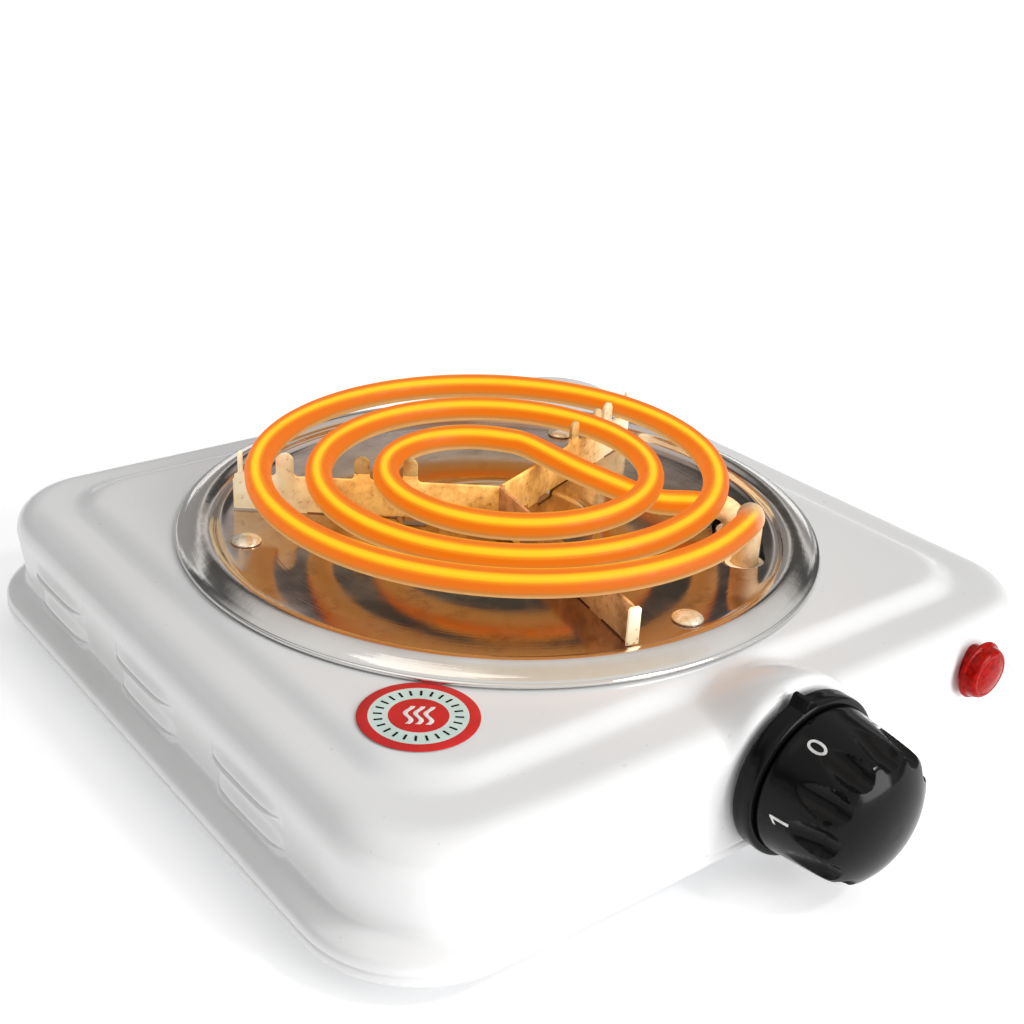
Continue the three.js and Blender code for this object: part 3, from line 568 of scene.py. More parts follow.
def turned(profile: Sequence[Sequence[float]], steps: int) -> Mesh:
    """Turns a line of (radius, height) points about the Z axis.

    Args:
        profile: the line, whose ends may lie on the axis.
        steps: facets round the turn.

    Returns:
        The turned mesh, normals outwards if it is closed.
    """
    bm = bmesh.new()
    verts = [bm.verts.new((p[0], 0.0, p[1])) for p in profile]
    edges = [bm.edges.new(pair) for pair in zip(verts, verts[1:])]
    bmesh.ops.spin(
        bm, geom=[*verts, *edges], cent=(0, 0, 0), axis=(0, 0, 1), angle=2 * math.pi, steps=steps,
        use_merge=True,
    )
    bmesh.ops.remove_doubles(bm, verts=bm.verts, dist=1e-4)
    bmesh.ops.recalc_face_normals(bm, faces=bm.faces)
    return bm


def moved(bm: Mesh, matrix: Matrix) -> Mesh:
    """Moves a whole mesh by a matrix and returns it."""
    bmesh.ops.transform(bm, matrix=matrix, verts=bm.verts)
    return bm


def forward(x: float, y: float, z: float) -> Matrix:
    """Lays a mesh turned about Z along -Y, with its zero height at y."""
    return Matrix.Translation((x, y, z)) @ Matrix.Rotation(math.pi / 2, 4, "X")


def as_object(bm: Mesh, name: str) -> bpy.types.Object:
    """Makes a plain object of a mesh, and frees the mesh."""
    mesh = bpy.data.meshes.new(name)
    bm.to_mesh(mesh)
    bm.free()
    thing = bpy.data.objects.new(name, mesh)
    bpy.context.scene.collection.objects.link(thing)
    return thing


def settled(thing: bpy.types.Object) -> Mesh:
    """Applies an object's modifiers, removes it, and returns the mesh."""
    bpy.context.view_layer.update()
    graph = bpy.context.evaluated_depsgraph_get()
    mesh = bpy.data.meshes.new_from_object(thing.evaluated_get(graph))
    bm = bmesh.new()
    bm.from_mesh(mesh)
    bpy.data.objects.remove(thing)
    return bm


def thickened(bm: Mesh, sheet: float, rounds: int = 0) -> Mesh:
    """Gives a surface the thickness of its sheet, inwards.

    Args:
        bm: the outer surface.
        sheet: thickness in millimetres.
        rounds: subdivision levels done first.

    Returns:
        The closed mesh.
    """
    thing = as_object(bm, "sheet")
    if rounds:
        fine = thing.modifiers.new("rounds", "SUBSURF")
        fine.levels = fine.render_levels = rounds
        fine.boundary_smooth = "PRESERVE_CORNERS"
    wall = thing.modifiers.new("wall", "SOLIDIFY")
    wall.thickness = sheet
    wall.offset = -1
    return settled(thing)


def carved(bm: Mesh, cutter: Mesh) -> Mesh:
    """Takes one closed shape away from another.

    Args:
        bm: a closed mesh.
        cutter: what is taken away.

    Returns:
        The carved mesh.
    """
    thing = as_object(bm, "carved")
    tool = as_object(cutter, "cutter")
    step = thing.modifiers.new("take", "BOOLEAN")
    step.operation = "DIFFERENCE"
    step.object = tool
    step.solver = "MANIFOLD"
    result = settled(thing)
    bpy.data.objects.remove(tool)
    bmesh.ops.dissolve_degenerate(result, dist=1e-4, edges=result.edges)
    return result


def gathered(parts: Sequence[Mesh]) -> Mesh:
    """Puts several meshes side by side in one."""
    whole = bmesh.new()
    for part in parts:
        mesh = bpy.data.meshes.new("part")
        part.to_mesh(mesh)
        part.free()
        whole.from_mesh(mesh)
        bpy.data.meshes.remove(mesh)
    return whole


def grown_ring(
    bm: Mesh, edges: Sequence[bmesh.types.BMEdge]
) -> tuple[list[bmesh.types.BMVert], list[bmesh.types.BMEdge]]:
    """Extrudes a closed ring of edges in place.

    Args:
        bm: the mesh.
        edges: the ring.

    Returns:
        The new ring's points and its edges.
    """
    grown = bmesh.ops.extrude_edge_only(bm, edges=edges)["geom"]
    ring = [v for v in grown if isinstance(v, bmesh.types.BMVert)]
    fresh = set(ring)
    return ring, [e for e in grown if isinstance(e, bmesh.types.BMEdge) and set(e.verts) <= fresh]


def face_up(bm: Mesh) -> None:
    """Turns a surface over if most of it faces down."""
    if sum(f.normal.z * f.calc_area() for f in bm.faces) < 0:
        bmesh.ops.reverse_faces(bm, faces=bm.faces)


def plate(outline: Sequence[Point], thick: float, edge: float) -> Mesh:
    """Cuts a flat outline out of sheet, in the XZ plane.

    Args:
        outline: (x, z) points in order.
        thick: the sheet's thickness, centred on y = 0.
        edge: how far its arrises are rounded.

    Returns:
        The plate.
    """
    bm = bmesh.new()
    face = bm.faces.new([bm.verts.new((x, -thick / 2, z)) for x, z in outline])
    grown = bmesh.ops.extrude_face_region(bm, geom=[face])
    rims = [v for v in grown["geom"] if isinstance(v, bmesh.types.BMVert)]
    bmesh.ops.translate(bm, verts=rims, vec=(0, thick, 0))
    bmesh.ops.recalc_face_normals(bm, faces=bm.faces)
    # the long edges of the two faces, but not the corners between them
    flat = [e for e in bm.edges if abs(e.verts[0].co.y - e.verts[1].co.y) < 1e-6]
    bevelled(bm, [e for e in flat if e.calc_face_angle(0.0) > 1.2], edge, 2)
    return bm


def arc(x: float, z: float, radius: float, start: float, end: float, steps: int) -> list[Point]:
    """Points on an arc, angles in degrees."""
    angles = [math.radians(start + (end - start) * i / steps) for i in range(steps + 1)]
    return [(x + radius * math.cos(a), z + radius * math.sin(a)) for a in angles]


@dataclass
class Workshop:
    """Puts finished meshes into the row frame and dresses them."""

    centre: Vector

    def row(self) -> Matrix:
        """From millimetres about the box's middle to the row frame in metres."""
        return Matrix.Translation(self.centre) @ Matrix.Scale(MM, 4)

    def spot(self, x: float, y: float, z: float = 0.0) -> Vector:
        """A place in millimetres about the box's middle, in the row frame in metres."""
        return self.centre + Vector((x, y, z)) * MM

    def piece(
        self,
        bm: Mesh,
        name: str,
        finishes: Sequence[Finish],
        body: Body = Body.APPLIANCE,
        stands_for: Sequence[str] = (),
        crisp: float = 35.0,
    ) -> bpy.types.Object:
        """Makes a finished piece.

        Args:
            bm: its mesh in millimetres about the box's middle.
            name: the piece's name.
            finishes: its finishes, by the material number of its faces.
            body: the body that it rides on.
            stands_for: CAD nodes that it replaces.
            crisp: edges sharper than this many degrees stay sharp.

        Returns:
            The piece.
        """
        moved(bm, self.row())
        soften(bm, crisp)
        thing = as_object(bm, name)
        for finish in finishes:
            thing.data.materials.append(finish.material())
        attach(thing, body.value)
        if stands_for:
            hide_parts(*stands_for)
        log.info("%s: %d faces", name, len(thing.data.polygons))
        return thing

    def dress(self, nodes: dict[str, bpy.types.Object], finishes: dict[str, Finish]) -> None:
        """Gives CAD nodes their finishes.

        Args:
            nodes: the frame's nodes.
            finishes: finish by the start of the node's name.
        """
        for name, thing in nodes.items():
            found = next((f for start, f in finishes.items() if name.startswith(start)), ZINC)
            thing.data.materials.clear()
            thing.data.materials.append(found.material())


# ---- sub-assemblies ----
@dataclass
class Housing:
    """The enamelled box, pressed from one sheet."""

    width: float = 230
    depth: float = 225
    knob_x: float = 1
    knob_z: float = 25.5
    sheet: float = 1.1
    shoulder_z: float = 31.5
    shoulder_radius: float = 8
    plateau_z: float = 42
    hood_radius: float = 23
    hood_back: float = 23
    hood_fall: float = 8
    hood_lip: float = 3
    fade: float = 26
    corner_facets: int = 11
    pan: tuple[float, float] = (1, 4.4)
    hole: float = 82
    louvre_y: tuple[float, ...] = (-49, 4, 57.5)
    louvre_z: tuple[float, ...] = (17.8, 27.0)
    louvre_half: float = 16.2
    louvre_rise: float = 3.1
    louvre_out: float = 2.1
    mouth_height: float = 2.6
    mouth_depth: float = 2.6
    band_z: float = 17
    flank_half: float = 82.5
    flank_extra: tuple[float, ...] = (-70, -22.5, 30.8, 77)
    hood_blend: float = 4.5
    hood_reach: float = 34
    hood_half: float = 40
    louvre_stations: tuple[float, ...] = (0, 8, 13, 14.8, 15.6, 16.1, 16.6, 17.8)
    hood_x: tuple[float, ...] = (
        2, 4, 6, 8, 10, 12, 14, 16, 17.5, 19, 20.2, 21.3, 22.2, 23.2, 24.5, 26.5, 29, 32.5, 37,
    )

    def levels(self) -> list[tuple[float, float, float, float]]:
        """(height, inset at the front, inset at the sides, corner radius) from the foot up."""
        rows = [
            (7.0, 0.7, 0.7, 29.3), (7.2, 0.25, 0.25, 29.7), (7.8, 0.0, 0.0, 30), (9.3, 0.0, 0.0, 30),
            (9.55, 0.3, 0.4, 29.7), (9.95, 0.3, 0.4, 29.7), (10.2, 0.0, 0.0, 30), (11.6, 0.0, 0.1, 30),
            (12.7, 0.05, 0.6, 29.9), (13.5, 0.15, 2.2, 29.8), (14.3, 0.25, 4.3, 29.7),
            (15.1, 0.3, 5.7, 29.7), (16.2, 0.35, 6.5, 29.6), (17.1, 0.4, 6.6, 29.6),
        ]
        for z in (17.5, 17.7, 17.9, 18.9, 19.9, 20.9, 22.6, 24.4, 26.0, 26.7, 26.9, 27.1, 28.1, 29.1, 30.1):
            share = (z - self.band_z) / (self.shoulder_z - self.band_z)
            rows.append((z, 0.4 + 0.8 * share, 6.6 - 1.7 * share, 29.6 - 0.8 * share))
        arcs = 7
        for i in range(arcs + 1):
            angle = math.pi / 2 * i / arcs
            inset = self.shoulder_radius * (1 - math.cos(angle))
            height = self.shoulder_z + self.shoulder_radius * math.sin(angle)
            rows.append((height, 1.2 + inset, 4.9 + inset, 28.8 - inset))
        top = self.shoulder_z + self.shoulder_radius
        for inset in (11.0, 12.8, 14.6, 16.4, 18.0):
            share = (inset - 9.2) / 10.2
            side = 12.9 + (19.4 - 12.9) * share
            rows.append((top + 0.08 * share, inset, side, 20.8 - 1.0 * share))
        rows += [
            (39.66, 19.2, 19.2, 19.9), (40.0, 20.4, 20.4, 19.3), (40.55, 21.6, 21.6, 18.7),
            (41.15, 22.8, 22.8, 18), (41.65, 24.0, 24.0, 17), (41.93, 25.2, 25.2, 16.4),
            (self.plateau_z, 26.6, 26.6, 16), (self.plateau_z, 29.5, 29.5, 15),
        ]
        return rows

    def outline(self, front: float, side: float, corner: float) -> list[Vector]:
        """One section of the box, counter-clockwise, always with the same number of points.

        Args:
            front: inset of the front and of the whole outline.
            side: inset of the side band, which fades away just past the front corners.
            corner: the corners' radius.

        Returns:
            The points, at zero height.
        """
        half_x, half_y = self.width / 2 - front, self.depth / 2 - front
        reach_x, reach_y = half_x - corner, half_y - corner
        points = []

        def put(x: float, y: float, nx: float, ny: float, band: float) -> None:
            """Adds a point, pushed in by its share of the side band."""
            push = (side - front) * band
            points.append(Vector((x - nx * push, y - ny * push, 0)))

        def run(start: float, end: float, count: int) -> list[float]:
            """Evenly spaced places strictly between two ends."""
            return [start + (end - start) * i / (count + 1) for i in range(1, count + 1)]

        def turn(sx: int, sy: int, start: float) -> None:
            """Adds one corner."""
            for i in range(self.corner_facets + 1):
                angle = math.radians(start + 90 * i / self.corner_facets)
                band = 1.0 if sy > 0 else min(1.0, 0.3 + 0.9 * abs(math.cos(angle)))
                nx, ny = math.cos(angle), math.sin(angle)
                put(sx * reach_x + corner * nx, sy * reach_y + corner * ny, nx, ny, band)

        middle = [self.knob_x - x for x in reversed(self.hood_x)] + [self.knob_x]
        middle += [self.knob_x + x for x in self.hood_x]
        across = [*run(-reach_x, middle[0], 5), *middle, *run(middle[-1], reach_x, 5)]
        for x in across:
            put(x, -half_y, 0, -1, 0.3 * (1 - ease((reach_x - abs(x)) / self.fade)))
        turn(1, -1, -90)
        marks = {s * at for at in self.louvre_stations for s in (-1, 1)}
        flank = sorted([*(y + at for y in self.louvre_y for at in marks), *self.flank_extra])
        flank = [y * reach_y / self.flank_half for y in flank]
        for y in flank:
            put(half_x, y, 1, 0, 1)
        turn(1, 1, 0)
        for x in run(reach_x, -reach_x, 9):
            put(x, half_y, 0, 1, 1)
        turn(-1, 1, 90)
        for y in reversed(flank):
            put(-half_x, y, -1, 0, 1)
        turn(-1, -1, 180)
        return points

    def louvre(self, y: float, z: float) -> float:
        """How far the side stands out at a place, over the louvres' hoods and in their mouths."""
        for middle in self.louvre_y:
            along = abs(y - middle) / self.louvre_half
            for mouth in self.louvre_z:
                above = z - mouth
                if along >= 1 or not -self.mouth_height < above < self.louvre_rise:
                    continue
                ends = min(1.0, (1 - along) * 5) * (1 - along**5) ** 0.5
                if above >= 0:
                    return self.louvre_out * ends * (1 - above / self.louvre_rise)
                lip, sill = -above / 0.25, (above + self.mouth_height) / 1.6
                return -self.mouth_depth * ends * min(1.0, lip, sill)
        return 0.0

    def hood(self, x: float, y: float) -> float:
        """Height of the hood over the knob, a half cylinder that falls towards the pan."""
        span = max(self.hood_radius**2 - (x - self.knob_x) ** 2, 0.0) ** 0.5
        back = y + self.depth / 2
        fall = self.hood_fall * (max(back, 0.0) / self.hood_back) ** 2
        near = min(max(self.hood_lip - (back - 1.0), 0.0), self.hood_lip)
        lip = self.hood_lip - (self.hood_lip**2 - near**2) ** 0.5
        return self.knob_z + span - fall - lip

    def lift(self, point: Vector) -> Vector:
        """Moves a point of the box out over a louvre, or up over the knob's hood."""
        if 14 < point.z < self.shoulder_z and abs(point.x) > self.width / 2 - 10 and abs(point.y) < 80:
            out = self.louvre(point.y, point.z)
            return Vector((point.x + math.copysign(out, point.x), point.y, point.z))
        front = -self.depth / 2
        if point.y > front + self.hood_reach or abs(point.x - self.knob_x) > self.hood_half:
            return point
        if point.z >= self.shoulder_z - 0.01:
            top = smooth_max(point.z, self.hood(point.x, point.y), self.hood_blend)
            return Vector((point.x, point.y, top))
        rise = smooth_max(self.shoulder_z, self.hood(point.x, front + 1.2), self.hood_blend)
        share = ease((point.z - self.band_z) / (self.shoulder_z - self.band_z))
        return Vector((point.x, point.y, point.z + (rise - self.shoulder_z) * share))

    def shell(self) -> Mesh:
        """The outer surface, raised section by section and closed in to the pan's hole."""
        bm = bmesh.new()
        slot = bm.verts.layers.int.new("slot")
        rows = self.levels()
        first = self.outline(*rows[0][1:])
        ring = bmesh.ops.create_circle(bm, cap_ends=False, radius=1, segments=len(first))["verts"]
        for i, vert in enumerate(ring):
            vert[slot] = i
            vert.co = first[i] + Vector((0, 0, rows[0][0]))
        edges = list(bm.edges)
        targets = [
            [self.lift(p + Vector((0, 0, height))) for p in self.outline(front, side, corner)]
            for height, front, side, corner in rows[1:]
        ]
        middle = Vector((*self.pan, 0))
        for share in (0.5, 1.0):
            ring_points = []
            for p in targets[-1]:
                away = p - middle
                away.z = 0
                on_hole = middle + away.normalized() * self.hole
                flat = p.lerp(on_hole, share)
                ring_points.append(Vector((flat.x, flat.y, self.plateau_z)))
            targets.append(ring_points)
        for points in targets:
            ring, edges = grown_ring(bm, edges)
            for vert in ring:
                vert.co = points[vert[slot]]
        bmesh.ops.recalc_face_normals(bm, faces=bm.faces)
        face_up(bm)
        return bm

    def build(self, shop: Workshop) -> None:
        """Presses the shell and makes the piece."""
        body = thickened(self.shell(), self.sheet, 1)
        shop.piece(body, "enamelled_shell", [ENAMEL], stands_for=["upper_housing"], crisp=50)


@dataclass
class DripPan:
    """The spun pan in the middle, with its slot and its three rivets."""

    x: float = 1
    y: float = 4.4
    z: float = 42
    sheet: float = 0.8
    slot_radius: float = 68.3
    slot_angle: float = -41.9
    slot_length: float = 36
    slot_width: float = 14
    rivet_radius: float = 72
    rivet_turn: float = 16.5
    arms: dict[str, float] = field(default_factory=lambda: {"left": 142, "rear": 20, "front": -101.5})

    def on_pan(self, radius: float, degrees: float) -> tuple[float, float]:
        """A place on the pan from its radius and angle."""
        angle = math.radians(degrees)
        return self.x + radius * math.cos(angle), self.y + radius * math.sin(angle)

    def profile(self) -> list[Vector]:
        """The top of the sheet, from the middle out to the lip."""
        return faired(
            [
                (0, -1.1), (14, -1.1), (26.6, -1.1), (27.8, -0.95), (28.9, -0.35), (30.2, -0.1),
                (33, -0.05), (55, 0.0), (75.5, 0.05), (78.4, 0.3), (79.6, 1.0), (80.3, 2.5), (81.3, 3.6),
                (82.8, 4.15), (84.4, 4.2), (86.2, 3.65), (88.2, 2.6), (89.4, 1.85), (90.2, 1.55),
                (90.75, 1.45), (91.0, 1.1), (90.95, 0.6),
            ],
            4,
        )

    def build(self, shop: Workshop) -> None:
        """Spins the pan, opens the slot and sets the rivets."""
        bowl = turned([(p.x, p.y + self.z) for p in self.profile()], 180)
        face_up(bowl)
        bowl = moved(thickened(bowl, self.sheet), Matrix.Translation((self.x, self.y, 0)))
        slot = bmesh.new()
        bmesh.ops.create_cube(slot, size=1)
        moved(slot, Matrix.Diagonal((self.slot_length, self.slot_width, 16, 1)))
        uprights = [e for e in slot.edges if abs(e.verts[0].co.z - e.verts[1].co.z) > 1]
        bevelled(slot, uprights, self.slot_width / 2 - 0.01, 12)
        turn = Matrix.Rotation(math.radians(self.slot_angle + 90), 4, "Z")
        sx, sy = self.on_pan(self.slot_radius, self.slot_angle)
        moved(slot, Matrix.Translation((sx, sy, self.z)) @ turn)
        bowl = carved(bowl, slot)
        sheet = PanSheet("pan_sheet", "chrome", shop.spot(self.x, self.y))
        shop.piece(bowl, "spun_drip_pan", [sheet], stands_for=["drip_pan"], crisp=42)
        for name, degrees in self.arms.items():
            self.rivet(shop, name, degrees + self.rivet_turn)

    def rivet(self, shop: Workshop, name: str, degrees: float) -> None:
        """One stepped rivet with its domed head on the pan floor."""
        head = faired([(0, 2.0), (1.6, 1.9), (3.1, 1.35), (3.9, 0.8), (4.2, 0.45), (4.1, 0.12)], 3)
        line = [(p.x, p.y + self.z) for p in head]
        line += [(3.9, 42.05), (1.6, 42.05), (1.6, 40.8), (3.3, 40.7), (3.3, 35.4), (1.6, 35.3)]
        line += [(1.6, 33.8), (2.9, 33.7), (2.9, 32.4), (0, 32.2)]
        place = Matrix.Translation((*self.on_pan(self.rivet_radius, degrees), 0))
        bm = moved(turned(line, 40), place)
        shop.piece(bm, f"rivet_{name}", [RIVET_STEEL], stands_for=[f"pan_rivet_{name}"], crisp=50)


@dataclass
class Element:
    """The tubular heating element: nearly three turns and two legs."""

    x: float = 2
    y: float = 8.6
    z: float = 57
    radius: float = 3.7
    top: float = 60.35
    start: float = -60
    radii: tuple[float, ...] = (74.5, 68.3, 66.5, 67, 61.5, 54.2, 48.2, 46, 43.6, 35.6, 28.6, 20.5)
    outer_leg: tuple[float, float] = (46.5, -49.5)
    inner_leg: tuple[float, float] = (59, -33.5)
    foot_z: float = 30
    cold: tuple[float, float] = (27, 17)
    warming: tuple[float, float] = (14, 10)
    # painted highlight: the glow peaks where the tube faces this fixed direction, up and towards the front
    # left
    crown: Vector = field(default_factory=lambda: Vector((-0.434, -0.545, 0.717)))

    def turns(self) -> float:
        """How many turns the spiral has."""
        return (len(self.radii) - 1) / 4

    def spiral(self, turns: float) -> Vector:
        """A place on the spiral, after so many turns."""
        last = len(self.radii) - 1
        at = min(turns * 4, last - 1e-9)
        i = int(at)
        w = at - i
        p0, p1 = self.radii[max(i - 1, 0)], self.radii[i]
        p2, p3 = self.radii[min(i + 1, last)], self.radii[min(i + 2, last)]
        v0, v1 = (p2 - p0) / 2, (p3 - p1) / 2
        r = (2 * p1 - 2 * p2 + v0 + v1) * w**3 + (3 * p2 - 3 * p1 - 2 * v0 - v1) * w**2 + v0 * w + p1
        angle = math.radians(self.start - turns * 360)
        return Vector((self.x + r * math.cos(angle), self.y + r * math.sin(angle), self.z))

    def route(self) -> list[Vector]:
        """The tube's centre line from one terminal to the other."""
        ox, oy = self.outer_leg
        ix, iy = self.inner_leg
        samples = 60
        points = [(ox, oy, self.foot_z), (ox, oy, self.foot_z + 11), (ox, oy, self.z - 7)]
        points.append((ox - 1.8, oy - 1.4, self.z - 1.9))
        points += [tuple(self.spiral(self.turns() * i / samples)) for i in range(samples + 1)]
        points += [(22, -2.5, self.z - 0.6), (30, -11.5, self.z - 4.5), (39.5, -19, self.z - 8.6)]
        points += [(49.5, -26.5, self.z - 9), (56.2, -31.5, self.z - 10.4), (ix, iy, self.z - 15)]
        points += [(ix, iy, self.foot_z + 6), (ix, iy, self.foot_z)]
        return faired(points, 6)

    def build(self, shop: Workshop) -> None:
        """Draws the tube along its route and marks where it glows, with painted highlight lines aimed at
        fixed directions.
        """
        line = self.route()
        bm = bmesh.new()
        lit = bm.verts.layers.float.new("lit")
        glow = bm.verts.layers.float.new("glow")
        ring = bmesh.ops.create_circle(bm, cap_ends=True, radius=self.radius, segments=24)["verts"]
        edges = [e for e in bm.edges if set(e.verts) <= set(ring)]
        runs = [0.0]
        for a, b in zip(line, line[1:]):
            runs.append(runs[-1] + (b - a).length)
        side = Vector((1, 0, 0))
        second_highlight_toward = Vector((-self.crown.x, -self.crown.y, self.crown.z))
        before = Matrix.Identity(4)
        for i, spot in enumerate(line):
            ahead = (line[min(i + 1, len(line) - 1)] - line[max(i - 1, 0)]).normalized()
            side = (side - ahead * side.dot(ahead)).normalized()
            frame = Matrix((side, ahead.cross(side), ahead)).transposed().to_4x4()
            frame.translation = spot
            if i:
                ring, edges = grown_ring(bm, edges)
            bmesh.ops.transform(bm, matrix=frame @ before.inverted(), verts=ring)
            before = frame
            heat = ease((runs[i] - self.cold[0]) / self.warming[0])
            heat *= ease((runs[-1] - runs[i] - self.cold[1]) / self.warming[1])
            # painted highlight line: the glow peaks where the section faces the fixed direction
            highlight_line = (self.crown - ahead * self.crown.dot(ahead)).normalized()
            # a second painted highlight line, facing the mirrored direction at the back, fainter where both
            # would lie on top
            across = Vector((ahead.y, -ahead.x, 0)).dot(self.crown) / self.crown.xy.length
            weight = 0.55 + 0.45 * ease((abs(across) - 0.55) / 0.35)
            back = (second_highlight_toward - ahead * second_highlight_toward.dot(ahead)).normalized() * weight
            for vert in ring:
                around = (vert.co - spot).normalized()
                # the glow also weakens towards the underside of the tube
                body = 0.62 + 0.25 * around.z
                under = ease((0.06 - around.z) / 0.55)
                vert[lit] = heat
                vert[glow] = max(around.dot(highlight_line), around.dot(back), body * (1 - under) + 0.1 * under)
        bmesh.ops.holes_fill(bm, edges=edges, sides=0)
        bmesh.ops.recalc_face_normals(bm, faces=bm.faces)
        for vert in bm.verts:
            vert.co.z = min(vert.co.z, self.top)
        shop.piece(bm, "glowing_element", [GLOW], stands_for=["heating_coil"], crisp=60)


@dataclass
class Tripod:
    """The three upright strips whose fingers hold the element."""

    pan: DripPan
    element: Element
    end: float = 76
    top: float = 53
    tab: float = 60.2
    low: float = 42.3
    lug: float = 2.2
    sheet: float = 1.0

    def crossings(self, degrees: float) -> list[float]:
        """Where the element crosses an arm's line, as radii from the hub."""
        angle = math.radians(degrees)
        along = Vector((math.cos(angle), math.sin(angle)))
        found, before, steps = [], None, 600
        for i in range(steps + 1):
            point = self.element.spiral(self.element.turns() * i / steps)
            away = Vector((point.x - self.pan.x, point.y - self.pan.y))
            side, reach = along.cross(away), along.dot(away)
            if before is not None and before * side < 0 and reach > 5:
                found.append(reach)
            before = side
        return found

    def outline(self, degrees: float, start: float, fingers: bool) -> list[Point]:
        """One arm's outline as (reach, height).

        Args:
            degrees: the arm's direction.
            start: how far from the hub it begins.
            fingers: True for two pairs of round fingers, False for a level edge.

        Returns:
            The outline in order.
        """
        turns = self.crossings(degrees)
        outer, inner, reach = turns[0], turns[-1], self.element.radius + 0.7
        tip = min(self.end - 1.2, outer + reach + 5.2)
        line: list[Point] = [(start, self.low)]
        for at in (18, 58):
            line += [(at - 3, self.low), (at - 2.6, self.low - self.lug)]
            line += [(at + 2.6, self.low - self.lug), (at + 3, self.low)]
        line += [(self.end, self.low + 0.3), (self.end, self.top - 1.6), (self.end - 0.5, self.top - 0.8)]
        if not fingers:
            return [*line, (self.end - 1.6, self.top), (start, self.top)]
        for far, near in (
            (tip, outer + reach),
            (outer - reach, outer - reach - 5.6),
            (inner + reach + 5, inner + reach),
            (inner - reach, inner - reach - 4.8),
        ):
            half = (far - near) / 2
            foot = min(1.0, self.end - far) if far == tip else 1.3
            line += arc(far + foot - 0.3, self.top + foot, foot, 270, 180, 4)[0 if foot > 0.4 else 4 :]
            line += arc(far - half, self.tab - half + 0.3, half - 0.3, 0, 180, 10)
            line += arc(near - 1.0, self.top + 1.3, 1.3, 0, -90, 4)
        return [*line, (start, self.top)]

    def build(self, shop: Workshop) -> None:
        """Cuts the folded strip and the rear arm."""
        scorched = ScorchedStrip("scorched_strip", "steel", shop.spot(self.pan.x, self.pan.y))
        places = {}
        for name, degrees in self.pan.arms.items():
            start = 1.6 if name == "rear" else 0
            arm = plate(self.outline(degrees, start, name != "front"), self.sheet, 0.18)
            turn = Matrix.Rotation(math.radians(degrees), 4, "Z")
            places[name] = moved(arm, Matrix.Translation((self.pan.x, self.pan.y, 0)) @ turn)
        # the front arm takes the second, darker finish as painted shade
        for face in places["front"].faces:
            face.material_index = 1
        tall, wide, chamfer = self.top - self.low - 0.3, 1.7, 0.6
        half = [(wide, 0), (wide, tall - chamfer), (wide - chamfer, tall)]
        tab = plate([(-wide, 0), *half, *((-x, z) for x, z in reversed(half[1:]))], 0.9, 0.2)
        lean = math.radians(self.pan.arms["front"])
        foot = (*self.pan.on_pan(self.end - 0.3, self.pan.arms["front"]), self.low + 0.3)
        moved(tab, Matrix.Translation(foot) @ Matrix.Rotation(lean + math.pi / 2, 4, "Z"))
        folded = gathered([places["left"], places["front"], tab])
        # painted shade: the front arm gets a darker copy of the strip finish, with almost no painted glow
        shaded_tones = ((0.42, 0.24, 0.12), (0.22, 0.11, 0.06))
        shaded_tips = ((0.60, 0.42, 0.25), (0.30, 0.17, 0.09))
        shaded_copy = ScorchedStrip("shaded_strip", "steel", scorched.centre, shaded_tones, shaded_tips, 0.02)
        finishes = [scorched, shaded_copy]
        shop.piece(folded, "support_folded", finishes, stands_for=["support_strip_folded"], crisp=30)
        shop.piece(places["rear"], "support_rear", [scorched], stands_for=["support_arm_rear"], crisp=30)


